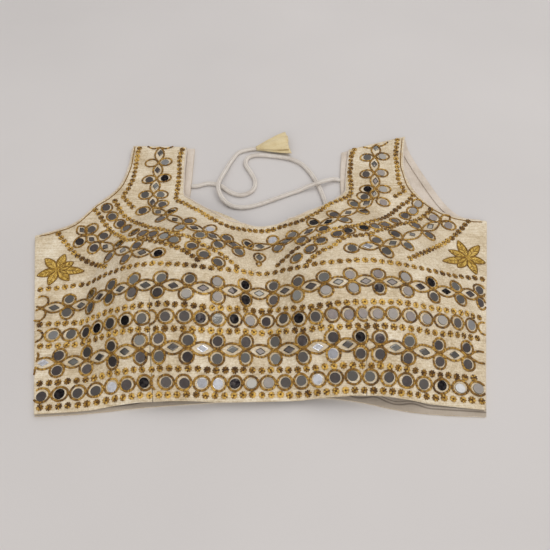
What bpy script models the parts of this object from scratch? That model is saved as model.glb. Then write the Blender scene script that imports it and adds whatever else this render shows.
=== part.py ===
"""A sleeveless padded blouse laid on its back on a flat surface, with its two neck ties.

Metres, +Z up. +X runs to the right of the laid garment and +Y from the hem to the shoulders.
The origin is on the resting surface, under the middle of the garment's outline.
The front is one cloth wall that stands up over two soft cups. The back is two flat halves that
meet at the centre back. Both are joined at the side seams and at the shoulders.
"""

import math

import bmesh
import bpy
from mathutils import Vector

# Driving dimensions
WALL = 0.0018  # shell fabric, lining and interfacing, sewn as one
FACING = 0.0010  # folded strip along the back's cut edges
SEAM_GAP = 0.0003
CHEST_HALF = 0.269  # half the laid width at the bottom of the armholes
HEM_HALF = 0.2145  # half the laid width at the hem
HALF_LENGTH = 0.190  # from the middle to the lowest hem and to the highest shoulder
CENTRE_X = -0.002  # centre back line
LIE = 0.0056  # outer face of the front where it lies flat on the back
EDGE_ROLL = 0.0025  # radius of the turn at the side seams and at the shoulders
EDGE_DROP = 0.0010  # upright stretch of the cloth under that turn
FACING_WIDTH = 0.009
FACING_STEPS = 18
SHOULDER_CLEAR = 0.006  # from a facing's end to the seam where the front turns down
TIE_DIAMETER = 0.005
TIE_STEP = 0.0085  # distance between the points of a tie's line

# Cloth colours: linear red, green and blue
CREAM_SILK = (0.74, 0.65, 0.48)
CREAM_LINING = (0.78, 0.72, 0.62)
CORD_WHITE = (0.80, 0.75, 0.68)
TASSEL_CREAM = (0.76, 0.64, 0.40)
STEEL = (0.55, 0.55, 0.56)

# Outline of the front. Columns: x, y.
SIDE_CHEST = {"left": (-CHEST_HALF, 0.021), "right": (CHEST_HALF, 0.043)}
FRONT_HEM = (
    (-HEM_HALF, -0.1885),
    (-0.164, -0.1850),
    (-0.139, -0.1806),
    (-0.100, -0.1788),
    (-0.003, -0.1780),
    (0.066, -0.1755),
    (0.104, -0.1743),
    (0.139, -0.1767),
    (HEM_HALF, -0.1845),
)
# From the top of the side seam to the foot of the strap
LOWER_ARMHOLE = {
    "left": (
        SIDE_CHEST["left"],
        (-0.249, 0.0270),
        (-0.2265, 0.0380),
        (-0.213, 0.0560),
        (-0.205, 0.0690),
        (-0.1925, 0.081),
    ),
    "right": (SIDE_CHEST["right"], (0.247, 0.0455), (0.224, 0.0515), (0.205, 0.0650), (0.190, 0.087)),
}
# From the foot of the strap to the shoulder, outer edge and inner edge
STRAP_OUTER = {
    "left": (LOWER_ARMHOLE["left"][-1], (-0.181, 0.100), (-0.1755, 0.130), (-0.176, 0.172)),
    "right": (LOWER_ARMHOLE["right"][-1], (0.182, 0.110), (0.181, 0.140), (0.191, HALF_LENGTH)),
}
STRAP_INNER = {
    "left": ((-0.100, 0.082), (-0.103, 0.118), (-0.105, 0.170)),
    "right": ((0.102, 0.086), (0.106, 0.120), (0.113, 0.165)),
}
FRONT_NECK = (
    STRAP_INNER["left"][0],
    (-0.077, 0.0620),
    (-0.048, 0.0405),
    (-0.004, 0.0300),
    (0.039, 0.0410),
    (0.081, 0.0670),
    STRAP_INNER["right"][0],
)

# Outline of the back, where it differs from the front. Columns: x, y.
BACK_HEM = {
    "left": ((CENTRE_X, -0.1735), (-0.100, -0.1800), (-0.170, -0.1872), (-HEM_HALF, -0.1895)),
    "right": (
        (CENTRE_X, -0.1735),
        (0.060, -0.1715),
        (0.100, -0.1765),
        (0.135, -0.1840),
        (0.172, -0.1880),
        (HEM_HALF, -HALF_LENGTH),
    ),
}
BACK_ARMHOLE = {
    "left": (
        SIDE_CHEST["left"],
        (-0.243, 0.0258),
        (-0.2205, 0.0350),
        (-0.203, 0.0555),
        (-0.190, 0.083),
        (-0.181, 0.114),
        (-0.1775, 0.145),
        (-0.176, 0.172),
    ),
    "right": (
        SIDE_CHEST["right"],
        (0.250, 0.0475),
        (0.236, 0.0540),
        (0.223, 0.0730),
        (0.211, 0.104),
        (0.199, 0.140),
        (0.1925, 0.165),
        (0.191, HALF_LENGTH),
    ),
}
BACK_NECK = {
    "left": (
        (-0.094, 0.1695),
        (-0.0925, 0.100),
        (-0.093, 0.045),
        (-0.086, -0.015),
        (-0.055, -0.050),
        (CENTRE_X, -0.060),
    ),
    "right": (
        (0.103, 0.1620),
        (0.0975, 0.110),
        (0.096, 0.050),
        (0.089, -0.015),
        (0.055, -0.050),
        (CENTRE_X, -0.060),
    ),
}

# Where the front stands off the table. Columns: x, y of the top, reach to the left, right, hem and
# shoulder, height.
CUPS = (
    (-0.088, -0.060, 0.112, 0.104, 0.134, 0.135, 0.044),
    (0.092, -0.062, 0.104, 0.150, 0.134, 0.135, 0.042),
    (-0.002, -0.080, 0.105, 0.105, 0.150, 0.120, 0.0085),
)
# Long folds, ridges and troughs. Columns: x and y of one end, x and y of the other, half width,
# height, which is below zero for a trough.
FOLDS = (
    (-0.090, 0.073, -0.045, 0.036, 0.030, 0.0042),
    (-0.045, 0.036, 0.040, 0.038, 0.030, 0.0046),
    (0.040, 0.038, 0.092, 0.076, 0.030, 0.0050),
    (-0.120, -0.181, -0.060, -0.179, 0.022, 0.0024),
    (0.060, -0.177, 0.140, -0.178, 0.026, 0.0034),
    (-0.205, 0.010, -0.150, -0.010, 0.010, 0.0022),
    (0.222, 0.020, 0.150, 0.010, 0.013, 0.0030),
    (0.240, -0.030, 0.190, -0.110, 0.020, 0.0028),
    (-0.190, -0.020, -0.186, -0.110, 0.009, -0.0012),
    (-0.150, 0.140, -0.135, 0.070, 0.016, 0.0016),
    (0.140, 0.150, 0.135, 0.070, 0.018, 0.0020),
)
# Waist darts, sewn from the hem to a point on the cup. Columns: x and y of the point, x and y at
# the hem.
DARTS = (
    (-0.111, -0.083, -0.100, -0.179),
    (0.102, -0.088, 0.104, -0.1745),
)
DART_HALF_WIDTH = 0.007
DART_DEPTH = 0.0011

# Lines of the ties on the surface. Columns: x, y, height of the tie's centre.
TIE_FLAT = TIE_DIAMETER / 2
TIE_OVER = TIE_FLAT + TIE_DIAMETER + 0.0006  # centre of a tie that lies over the other one
TIE_LEFT = (
    (-0.0921, 0.1015, TIE_FLAT),
    (-0.0840, 0.1019, TIE_FLAT),
    (-0.071, 0.1060, TIE_FLAT),
    (-0.056, 0.1025, TIE_FLAT),
    (-0.041, 0.0905, TIE_FLAT),
    (-0.027, 0.0868, TIE_FLAT),
    (-0.014, 0.0945, TIE_FLAT),
    (-0.0115, 0.1100, TIE_FLAT),
    (-0.018, 0.1260, TIE_FLAT),
    (-0.0245, 0.1400, TIE_FLAT),
    (-0.0215, 0.1520, TIE_FLAT),
    (-0.009, 0.1565, TIE_FLAT),
    (0.012, 0.1545, TIE_FLAT),
    (0.033, 0.1500, TIE_FLAT),
    (0.048, 0.1410, TIE_FLAT),
    (0.059, 0.1260, TIE_FLAT),
    (0.067, 0.1080, TIE_FLAT),
    (0.073, 0.0890, TIE_FLAT),
    (0.0765, 0.0700, TIE_FLAT),
    (0.074, 0.0480, TIE_FLAT),
)
TIE_RIGHT = (
    (0.0971, 0.1120, TIE_FLAT),
    (0.0870, 0.1115, 0.0046),
    (0.0705, 0.1030, TIE_OVER),
    (0.056, 0.0985, 0.0055),
    (0.041, 0.0925, TIE_FLAT),
    (0.024, 0.0850, TIE_FLAT),
    (0.006, 0.0765, TIE_FLAT),
    (-0.011, 0.0695, TIE_FLAT),
    (-0.026, 0.0665, TIE_FLAT),
    (-0.041, 0.0695, 0.0030),
    (-0.052, 0.0800, 0.0052),
    (-0.0572, 0.0945, 0.0080),
    (-0.0560, 0.1060, TIE_OVER),
    (-0.0505, 0.1240, 0.0058),
    (-0.044, 0.1440, 0.0030),
    (-0.0350, 0.1605, TIE_FLAT),
    (-0.0230, 0.1662, TIE_FLAT),
    (-0.0115, 0.1686, TIE_FLAT),
)
# A tassel is a cone of folded cloth, pressed flat and open at its wide end.
# Columns: distance from the tie, half width, half height.
TASSEL_RINGS = (
    (0.0, 0.0028, 0.0026),
    (0.006, 0.0052, 0.0034),
    (0.018, 0.0112, 0.0046),
    (0.032, 0.0172, 0.0056),
    (0.045, 0.0208, 0.0060),
)
TASSEL_WALL = 0.0012
TASSEL_SIDES = 20
TIES = {"left": TIE_LEFT, "right": TIE_RIGHT}

PLACKET_WIDTH = 0.024
PLACKET_ENDS = (-0.166, -0.0725)
HOOKS = 4
HOOK_WIRE = 0.0010
HOOK_LENGTH = 0.010
HOOK_EYE = 0.0045

BODY_ROWS = 20
ARM_COLUMNS = 8
STRAP_COLUMNS = 8
NECK_COLUMNS = 20
STRAP_ROWS = 9


def clear_scene():
    for found in list(bpy.data.objects):
        bpy.data.objects.remove(found)


def cloth_material(name, colour, roughness=0.8, metallic=0.0):
    made = bpy.data.materials.new(name)
    made.use_nodes = True
    shader = made.node_tree.nodes["Principled BSDF"]
    shader.inputs["Base Color"].default_value = (*colour, 1.0)
    shader.inputs["Roughness"].default_value = roughness
    shader.inputs["Metallic"].default_value = metallic
    return made


def add_object(name, data, material):
    made = bpy.data.objects.new(name, data)
    made.data.materials.append(material)
    bpy.context.scene.collection.objects.link(made)
    return made


def mesh_object(name, mesh, material):
    """Turns a bmesh into a named object, shaded smooth but for its sharp edges."""
    data = bpy.data.meshes.new(name)
    bmesh.ops.recalc_face_normals(mesh, faces=mesh.faces)
    mesh.to_mesh(data)
    mesh.free()
    data.shade_smooth()
    data.set_sharp_from_angle(angle=math.radians(40))
    return add_object(name, data, material)


def smooth_line(points, steps=24):
    """A Catmull-Rom line through the points, as vectors."""
    given = [Vector(p) for p in points]
    padded = [2 * given[0] - given[1], *given, 2 * given[-1] - given[-2]]
    line = [given[0]]
    for before, start, end, after in zip(padded, padded[1:], padded[2:], padded[3:]):
        for step in range(1, steps + 1):
            t = step / steps
            line.append(
                0.5
                * (
                    2 * start
                    + (end - before) * t
                    + (2 * before - 5 * start + 4 * end - after) * t**2
                    + (3 * start - before - 3 * end + after) * t**3
                )
            )
    return line


def at_distances(line, distances):
    """Points of a line at these distances from its start."""
    reached = [0.0]
    for start, end in zip(line, line[1:]):
        reached.append(reached[-1] + (end - start).length)
    found = []
    place = 0
    for distance in distances:
        while place < len(line) - 2 and reached[place + 1] < distance:
            place += 1
        share = (distance - reached[place]) / max(reached[place + 1] - reached[place], 1e-9)
        found.append(line[place].lerp(line[place + 1], min(max(share, 0.0), 1.0)))
    return found


def line_length(line):
    return sum((end - start).length for start, end in zip(line, line[1:]))


def evenly(points, count):
    """A smooth line through the points, cut into this many equal stretches."""
    line = smooth_line(points)
    whole = line_length(line)
    return at_distances(line, [whole * step / count for step in range(count + 1)])


def rolled_edge():
    """The turn of a rolled edge from its low end: distances from the edge, and drops there."""
    turns = [math.radians(angle) for angle in (0, 30, 60, 90)]
    distances = [0.0] + [EDGE_ROLL * (1 - math.cos(turn)) for turn in turns]
    drops = [EDGE_ROLL + EDGE_DROP] + [EDGE_ROLL * (1 - math.sin(turn)) for turn in turns]
    return distances, drops


def from_rolled_edge(points, count):
    """As evenly, with the close points of a rolled edge at the start."""
    line = smooth_line(points)
    roll, _ = rolled_edge()
    rest = line_length(line) - roll[-1]
    return at_distances(line, roll + [roll[-1] + rest * step / count for step in range(1, count + 1)])


def cup_height(x, y, cup):
    top_x, top_y, left, right, down, up, height = cup
    across = (x - top_x) / (right if x > top_x else left)
    along = (y - top_y) / (up if y > top_y else down)
    far = math.hypot(across, along)
    return height * (1 - far**2.5) ** 1.6 if far < 1 else 0.0


def fold_height(x, y, fold):
    start_x, start_y, end_x, end_y, half_width, height = fold
    run = Vector((end_x - start_x, end_y - start_y))
    away = Vector((x - start_x, y - start_y))
    share = min(max(away.dot(run) / run.length_squared, 0.0), 1.0)
    far = (away - run * share).length / half_width
    return height * math.cos(far * math.pi / 2) ** 2 if far < 1 else 0.0


def front_height(x, y):
    """Height of the front's outer face, away from its rolled edges."""
    return (
        LIE
        + sum(cup_height(x, y, cup) for cup in CUPS)
        + sum(fold_height(x, y, fold) for fold in FOLDS)
        + sum(fold_height(x, y, (*dart, DART_HALF_WIDTH, -DART_DEPTH)) for dart in DARTS)
    )


def body_edges():
    """The hem and the top edge of the front's body, column for column, from left to right."""
    left_arm = from_rolled_edge(LOWER_ARMHOLE["left"], ARM_COLUMNS)
    right_arm = from_rolled_edge(LOWER_ARMHOLE["right"], ARM_COLUMNS)[::-1]
    left_foot = (left_arm[-1], Vector(STRAP_INNER["left"][0]))
    right_foot = (Vector(STRAP_INNER["right"][0]), right_arm[0])
    top = (
        left_arm
        + evenly(left_foot, STRAP_COLUMNS)[1:]
        + evenly(FRONT_NECK, NECK_COLUMNS)[1:]
        + evenly(right_foot, STRAP_COLUMNS)[1:]
        + right_arm[1:]
    )
    line = smooth_line(FRONT_HEM)
    whole = line_length(line)
    roll, _ = rolled_edge()
    width = top[-1].x - top[0].x
    inner = [whole * (point.x - top[0].x) / width for point in top[len(roll) : -len(roll)]]
    hem = at_distances(line, roll + inner + [whole - distance for distance in roll[::-1]])
    return hem, top


def build_front(material):
    """The whole front: body, straps, side seams and shoulders as one wall."""
    hem, top = body_edges()
    roll, drops = rolled_edge()
    columns = len(top)
    column_drops = drops + [0.0] * (columns - 2 * len(drops)) + drops[::-1]
    mesh = bmesh.new()
    grid = []
    for row in range(BODY_ROWS + 1):
        places = [low.lerp(high, row / BODY_ROWS) for low, high in zip(hem, top)]
        grid.append([front_point(mesh, place, drop) for place, drop in zip(places, column_drops)])
    for low, high in zip(grid, grid[1:]):
        for column in range(columns - 1):
            mesh.faces.new((low[column], low[column + 1], high[column + 1], high[column]))
    left_foot = len(roll) + ARM_COLUMNS - 1
    right_foot = columns - len(roll) - ARM_COLUMNS - STRAP_COLUMNS
    build_strap(mesh, grid[-1][left_foot : left_foot + STRAP_COLUMNS + 1], "left")
    build_strap(mesh, grid[-1][right_foot : right_foot + STRAP_COLUMNS + 1], "right")
    front = mesh_object("front", mesh, material)
    wall = front.modifiers.new("wall", "SOLIDIFY")
    wall.thickness = WALL
    wall.offset = -1.0
    return front


def front_point(mesh, place, drop):
    """A point of the front's outer face, this far below its free height."""
    return mesh.verts.new((place.x, place.y, front_height(place.x, place.y) - drop))


def build_strap(mesh, foot, side):
    """Carries the front up from the points of a strap's foot to its rolled shoulder edge."""
    roll, drops = rolled_edge()
    edges = []
    for table in (STRAP_OUTER, STRAP_INNER):
        line = smooth_line(table[side])
        whole = line_length(line)
        flat = whole - roll[-1]
        places = [flat * row / STRAP_ROWS for row in range(1, STRAP_ROWS + 1)]
        edges.append(at_distances(line, places + [whole - distance for distance in roll[-2::-1]]))
    first, last = edges if side == "left" else edges[::-1]
    row_drops = [0.0] * (STRAP_ROWS - 1) + drops[::-1]
    below = foot
    for start, end, drop in zip(first, last, row_drops):
        places = [start.lerp(end, column / STRAP_COLUMNS) for column in range(STRAP_COLUMNS + 1)]
        above = [front_point(mesh, place, drop) for place in places]
        for column in range(STRAP_COLUMNS):
            mesh.faces.new((below[column], below[column + 1], above[column + 1], above[column]))
        below = above


def slab(outline, low, thickness):
    """A flat piece of cloth of this outline, standing at this height."""
    mesh = bmesh.new()
    face = mesh.faces.new([mesh.verts.new((point.x, point.y, low)) for point in outline])
    lifted = bmesh.ops.extrude_face_region(mesh, geom=[face])
    raised = [item for item in lifted["geom"] if isinstance(item, bmesh.types.BMVert)]
    bmesh.ops.translate(mesh, verts=raised, vec=(0, 0, thickness))
    bmesh.ops.triangulate(mesh, faces=mesh.faces)
    return mesh


def build_back(side, material):
    """One half of the back, flat on the table, up to the centre back line."""
    gap = SEAM_GAP / 2 * (1 if side == "right" else -1)
    hem = evenly(BACK_HEM[side], 12)
    armhole = evenly(BACK_ARMHOLE[side], 20)
    neck = evenly(BACK_NECK[side], 20)
    outline = hem + armhole + neck
    for point in (hem[0], neck[-1]):
        point.x = CENTRE_X + gap
    return mesh_object(f"back_{side}", slab(outline, 0.0, WALL), material)


def build_facing(name, points, inward, end_clear, material):
    """A narrow strip sewn on the inside of the back, along a cut edge.

    inward is 1 where the cloth lies to the left of the edge's run, and -1 to the right.
    end_clear is how far the strip stops before the end of the edge.
    """
    line = smooth_line(points)
    start = SHOULDER_CLEAR
    run_length = line_length(line) - start - end_clear
    steps = range(FACING_STEPS + 1)
    edge = at_distances(line, [start + run_length * step / FACING_STEPS for step in steps])
    inner = []
    for place, point in enumerate(edge):
        run = (edge[min(place + 1, FACING_STEPS)] - edge[max(place - 1, 0)]).normalized()
        inner.append(point + Vector((-run.y, run.x)) * FACING_WIDTH * inward)
    return mesh_object(name, slab(edge + inner[::-1], WALL + SEAM_GAP, FACING), material)


def build_placket(material):
    """The strip under the centre back opening, which carries the hooks."""
    low, high = PLACKET_ENDS
    half = PLACKET_WIDTH / 2
    corners = [(-half, low), (half, low), (half, high), (-half, high)]
    outline = [Vector((CENTRE_X + x, y)) for x, y in corners]
    return mesh_object("hook_placket", slab(outline, WALL + SEAM_GAP, FACING), material)


def build_hook(number, material):
    """A bent wire hook, flat on the placket."""
    low, high = PLACKET_ENDS
    y = low + (high - low) * (number + 0.5) / HOOKS
    height = WALL + SEAM_GAP + FACING + SEAM_GAP + HOOK_WIRE / 2
    start = CENTRE_X - HOOK_LENGTH / 2
    turn = HOOK_EYE / 2
    points = [(start, y - turn), (start + HOOK_LENGTH - turn, y - turn)]
    for step in range(1, 6):
        angle = math.radians(-90 + step * 30)
        points.append((start + HOOK_LENGTH - turn + turn * math.cos(angle), y + turn * math.sin(angle)))
    points += [(start + HOOK_LENGTH - turn, y + turn), (start + turn, y + turn)]
    return tube(f"hook_{number + 1}", [(x, v, height) for x, v in points], HOOK_WIRE, material)


def tube(name, points, diameter, material):
    data = bpy.data.curves.new(name, "CURVE")
    data.dimensions = "3D"
    data.bevel_depth = diameter / 2
    data.bevel_resolution = 2
    data.use_fill_caps = True
    spline = data.splines.new("POLY")
    spline.points.add(len(points) - 1)
    for place, point in zip(spline.points, points):
        place.co = (*point, 1.0)
    return add_object(name, data, material)


def tie_points(side):
    """The line of a tie, from the back's neck edge to its tassel."""
    stretches = round(line_length(smooth_line(TIES[side])) / TIE_STEP)
    line = evenly(TIES[side], stretches)
    for point in line:
        point.z = max(point.z, TIE_FLAT)
    return line


def build_tassel(side, material):
    """A flattened hollow cone that lies on the table, in line with its tie, its wide end open."""
    before, end = tie_points(side)[-2:]
    way = (end - before).to_2d().normalized()
    mesh = bmesh.new()
    outer = [tassel_ring(mesh, *row) for row in TASSEL_RINGS]
    inner = [
        tassel_ring(mesh, distance, half_width - TASSEL_WALL, half_height - TASSEL_WALL, half_height)
        for distance, half_width, half_height in TASSEL_RINGS[1:]
    ]
    chain = outer + inner[::-1]
    for low, high in zip(chain, chain[1:]):
        for place in range(TASSEL_SIDES):
            after = (place + 1) % TASSEL_SIDES
            mesh.faces.new((low[place], low[after], high[after], high[place]))
    mesh.faces.new(outer[0])
    mesh.faces.new(inner[0])
    tassel = mesh_object(f"tassel_{side}", mesh, material)
    tassel.location = (*(end.to_2d() + way * SEAM_GAP), 0)
    tassel.rotation_euler = (0, 0, math.atan2(way.y, way.x))
    return tassel


def tassel_ring(mesh, distance, half_width, half_height, centre_height=None):
    """One section of the cone, at this distance along its own X axis."""
    middle = half_height if centre_height is None else centre_height
    ring = []
    for side in range(TASSEL_SIDES):
        angle = 2 * math.pi * side / TASSEL_SIDES
        place = (distance, half_width * math.cos(angle), middle + half_height * math.sin(angle))
        ring.append(mesh.verts.new(place))
    return ring


def main():
    clear_scene()
    silk = cloth_material("cream_silk", CREAM_SILK, 0.55)
    lining = cloth_material("cream_lining", CREAM_LINING, 0.85)
    cord = cloth_material("cord_cotton", CORD_WHITE, 0.75)
    tassel_silk = cloth_material("tassel_silk", TASSEL_CREAM, 0.55)
    steel = cloth_material("hook_steel", STEEL, 0.35, 1.0)

    build_front(silk)
    for side in ("left", "right"):
        build_back(side, silk)
        inward = -1 if side == "left" else 1
        build_facing(f"armhole_facing_{side}", BACK_ARMHOLE[side], inward, SHOULDER_CLEAR, lining)
        build_facing(f"neck_facing_{side}", BACK_NECK[side], inward, SEAM_GAP, lining)
    build_placket(lining)
    for number in range(HOOKS):
        build_hook(number, steel)
    for side in TIES:
        tube(f"tie_{side}", tie_points(side), TIE_DIAMETER, cord)
        build_tassel(side, tassel_silk)


main()
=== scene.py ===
"""The looks of a padded silk blouse with mirror work, laid on its back, and of its two neck ties.

Metres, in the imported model's own frame. Plan tables are in millimetres.
"""

import math
import random

import bmesh
import bpy
import numpy as np
from mathutils import Matrix, Vector, noise
from mathutils.bvhtree import BVHTree


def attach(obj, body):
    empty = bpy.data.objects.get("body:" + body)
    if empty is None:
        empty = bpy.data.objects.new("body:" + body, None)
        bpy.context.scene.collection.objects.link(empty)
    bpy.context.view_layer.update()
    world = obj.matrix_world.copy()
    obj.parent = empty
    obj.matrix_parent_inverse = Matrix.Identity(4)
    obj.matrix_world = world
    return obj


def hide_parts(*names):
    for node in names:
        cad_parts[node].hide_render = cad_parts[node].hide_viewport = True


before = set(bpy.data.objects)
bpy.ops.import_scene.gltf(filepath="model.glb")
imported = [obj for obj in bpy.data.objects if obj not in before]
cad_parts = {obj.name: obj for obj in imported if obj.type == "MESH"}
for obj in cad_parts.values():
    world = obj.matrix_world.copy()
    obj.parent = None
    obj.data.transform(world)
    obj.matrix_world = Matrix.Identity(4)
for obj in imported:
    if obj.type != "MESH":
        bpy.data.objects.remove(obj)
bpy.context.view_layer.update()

MM = 0.001
UP = Vector((0, 0, 1))
CHANCE = random.Random(11)

# Camera
CAMERA_PLACE = (0.014, -0.3169, 0.4591)
CAMERA_TILT = 32.0
CAMERA_LENS = 31.4

# Ties
TIE_DIAMETER = 0.005
TIE_FLAT = TIE_DIAMETER / 2
TIE_OVER = TIE_FLAT + TIE_DIAMETER + 0.0006
TIE_STEP = 0.0021
TIE_SIDES = 16
TIE_SPREAD = 1.15  # a soft tie lies wider than it is high
# The ties' middle lines, in metres. Columns: x, y, height.
TIES = {
    "left": (
        (-0.0921, 0.1015, TIE_FLAT), (-0.0840, 0.1019, TIE_FLAT), (-0.071, 0.1060, TIE_FLAT),
        (-0.056, 0.1025, TIE_FLAT), (-0.041, 0.0905, TIE_FLAT), (-0.027, 0.0868, TIE_FLAT),
        (-0.014, 0.0945, TIE_FLAT), (-0.0115, 0.1100, TIE_FLAT), (-0.018, 0.1260, TIE_FLAT),
        (-0.0245, 0.1400, TIE_FLAT), (-0.0215, 0.1520, TIE_FLAT), (-0.009, 0.1565, TIE_FLAT),
        (0.012, 0.1545, TIE_FLAT), (0.033, 0.1500, TIE_FLAT), (0.048, 0.1410, TIE_FLAT),
        (0.059, 0.1260, TIE_FLAT), (0.067, 0.1080, TIE_FLAT), (0.073, 0.0890, TIE_FLAT),
        (0.0765, 0.0700, TIE_FLAT), (0.074, 0.0480, TIE_FLAT),
    ),
    "right": (
        (0.0971, 0.1120, TIE_FLAT), (0.0870, 0.1115, 0.0046), (0.0705, 0.1030, TIE_OVER),
        (0.056, 0.0985, 0.0055), (0.041, 0.0925, TIE_FLAT), (0.024, 0.0850, TIE_FLAT),
        (0.006, 0.0765, TIE_FLAT), (-0.011, 0.0695, TIE_FLAT), (-0.026, 0.0665, TIE_FLAT),
        (-0.041, 0.0695, 0.0030), (-0.052, 0.0800, 0.0052), (-0.0572, 0.0945, 0.0080),
        (-0.0560, 0.1060, TIE_OVER), (-0.0505, 0.1240, 0.0058), (-0.044, 0.1440, 0.0030),
        (-0.0350, 0.1605, TIE_FLAT), (-0.0230, 0.1662, TIE_FLAT), (-0.0115, 0.1686, TIE_FLAT),
    ),
}
# In metres. Columns: distance from the tie, half width, half height.
TASSEL_RINGS = (
    (0.0, 0.0026, 0.0025),
    (0.006, 0.0050, 0.0033),
    (0.018, 0.0110, 0.0045),
    (0.032, 0.0170, 0.0055),
    (0.0445, 0.0206, 0.0059),
)
TASSEL_WALL = 0.0006
TASSEL_PLEATS = 7
TASSEL_COLUMNS = 112
TASSEL_ROWS = 24

# The embroidered rows of the body: how far up the cloth from the hem, at these distances across
# the hem from the middle.
ROW_X = (-205, -165, -130, -94, -47, 0, 47, 94, 130, 165, 205)
ROWS = {
    "dots_1": (5.5, 6.2, 6, 5.8, 6, 6, 5.4, 5, 5.2, 6.6, 8),
    "mirrors_low": (17.6, 18.6, 18.2, 17.4, 17, 17.6, 17.5, 17.3, 17.2, 18, 20),
    "dots_2": (30, 30.6, 30.6, 30.2, 30, 29.8, 28.8, 28, 27.8, 28.6, 30.8),
    "double_low": (51, 50.6, 49, 49.8, 49.6, 49.4, 48.4, 47.2, 46.4, 49.2, 53.4),
    "dots_3": (70.5, 69.4, 68.8, 68.2, 67.4, 67.6, 66.4, 65.4, 66.4, 69, 73.4),
    "mirrors_middle": (83, 80.8, 80, 80, 79, 79.4, 77.8, 77.8, 79.4, 82, 86.4),
    "dots_4": (96, 94, 92, 92.6, 90, 90, 88.6, 89.8, 91.8, 94, 97.6),
    "double_high": (115.6, 115.2, 114.8, 114, 109.4, 109, 110.8, 113.4, 113.4, 116.6, 123.6),
    "dots_5": (139.5, 141.6, 141, 139.6, 134, 133.6, 136.6, 138.8, 138, 140.8, 147),
}
# The back's hem, which shows below the front's, and along which the lining has painted shade. Columns:
# x, y.
BACK_HEM = (
    (-214.5, -189.5), (-160, -185.9), (-106, -180.3), (-2, -173.3), (38, -171.5), (74, -172.3),
    (110, -178.3), (146, -185.1), (214.5, -189.6),
)
# The body's rows are laid on columns that climb the cloth: where the first and the last column
# start on the hem, how far apart they are, and the steps in which they climb.
HEM_ENDS = (-212.3, 212.3)
COLUMN_STEP = 3.0
FLARES = (1.20, 1.10)  # how the left and right columns spread from the hem up, per metre
CLIMB_STEP = 1.5
CLIMB_STEPS = 150
# The hem is looked for from this place before it, in these steps.
HEM_LOOK = (-195.0, 0.4)
# Waist darts. Columns: x and y of the point, x and y at the hem.
DARTS = ((-111, -83, -100, -179), (102, -88, 104, -174.5))
# The sewn lines of the same darts, in the same columns.
SEAMS = ((-109.8, -86.4, -101.2, -179.5), (102.8, -90.4, 100.3, -176))
# Centres of the motifs of each row of mirrors, in millimetres of cloth from the left side seam. A
# row has one to three groups: the first dart parts the first two, and the second dart the next.
PLACES = {
    "mirrors_low": (
        (5.8, 23.2, 40.4, 57.2, 74.4, 91.6, 109.4, 122.0),
        (
            130.3, 147.0, 164.0, 180.4, 196.0, 211.4, 227.6, 244.0, 260.2, 276.6, 293.0, 310.0, 326.8,
            344.1, 361.8, 380.6, 399.4, 418.4, 435.4,
        ),
    ),
    "mirrors_middle": (
        (-1.2, 17.0, 35.4, 53.6, 71.4, 89.8, 108.6, 126.6),
        (
            134.4, 151.6, 169.6, 186.0, 202.4, 219.6, 237.0, 254.2, 272.4, 290.2, 306.8, 322.8, 338.2,
            353.4,
        ),
        (366.8, 383.4, 400.8, 418.6, 436.8, 456.2, 475.4, 492.9),
    ),
    "double_low": (
        (-6.0, 22.5, 51.5, 83.4, 115.0),
        (133.8, 161.7, 190.3, 219.6, 249.3, 278.8, 307.8, 334.7),
        (352.9, 383.0, 416.4, 449.8, 480.0),
    ),
    "double_high": (
        (
            4.5, 33.8, 63.1, 93.0, 122.2, 151.0, 180.8, 210.9, 241.1, 271.0, 299.4, 327.4, 355.2, 383.0,
            411.8, 442.8, 476.0, 507.0,
        ),
    ),
}
# Motifs without a mirror: the row, and the place in it.
BARE = {
    ("mirrors_middle", -1.2), ("mirrors_middle", 134.4), ("mirrors_low", 122.0), ("double_high", 4.5),
}

# Lines of embroidery on the upper part. Columns: x, y.
DOT_LINES = {
    "strap_outer_left": (
        (-167, 169), (-167, 144), (-166, 118), (-167, 107), (-169, 99), (-171, 90), (-174, 84),
        (-173, 79), (-168, 73), (-163, 67), (-158, 63),
    ),
    "strap_outer_right": (
        (180, 185), (175, 162), (173, 149), (172, 124), (171, 112), (172, 102), (175, 95),
        (176, 90), (170, 86), (160, 80),
    ),
    "neck": (
        (-109, 167), (-111, 149), (-109, 124), (-108, 99), (-108, 83), (-108, 78), (-104, 71),
        (-96, 65), (-90, 59), (-75, 45), (-58, 28), (-41, 19), (-24, 21), (-12, 23), (3, 24),
        (22, 28), (42, 29), (62, 43), (81, 63), (91, 69), (99, 75), (106, 80), (109, 90),
        (110, 107), (110, 119), (112, 131), (115, 152), (121, 166),
    ),
    "v_upper_left": (
        (-185, 77), (-176, 62), (-170, 53), (-162, 46), (-155, 40), (-142, 29), (-127, 16),
        (-117, 10), (-100, 0), (-90, -5), (-78, -10), (-62, -22), (-47, -30), (-36, -37),
        (-26, -44), (-21, -50),
    ),
    "v_lower_left": (
        (-207, 62), (-197, 50), (-189, 38), (-178, 26), (-164, 15), (-154, 3), (-143, -2),
        (-133, -5), (-117, -13), (-103, -19), (-86, -28), (-72, -38), (-59, -49),
    ),
    "v_upper_right": (
        (188, 86), (178, 73), (169, 67), (155, 53), (142, 39), (128, 29), (114, 20), (105, 15),
        (95, 13), (86, 10), (72, 6), (56, -5), (43, -14), (31, -23), (20, -33), (15, -38),
    ),
    "v_lower_right": (
        (207, 65), (196, 52), (180, 41), (168, 34), (156, 27), (142, 14), (130, 8), (116, -1),
        (101, -5), (87, -10), (75, -22), (61, -30), (50, -41), (45, -49),
    ),
    "corner_left": (
        (-243, 26), (-232, 13), (-217, -3), (-207, -11), (-196, -17), (-181, -25), (-167, -35),
    ),
    "corner_right": ((249, 46), (236, 32), (220, 16), (208, 7), (190, -8), (171, -23), (155, -34)),
}
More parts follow.
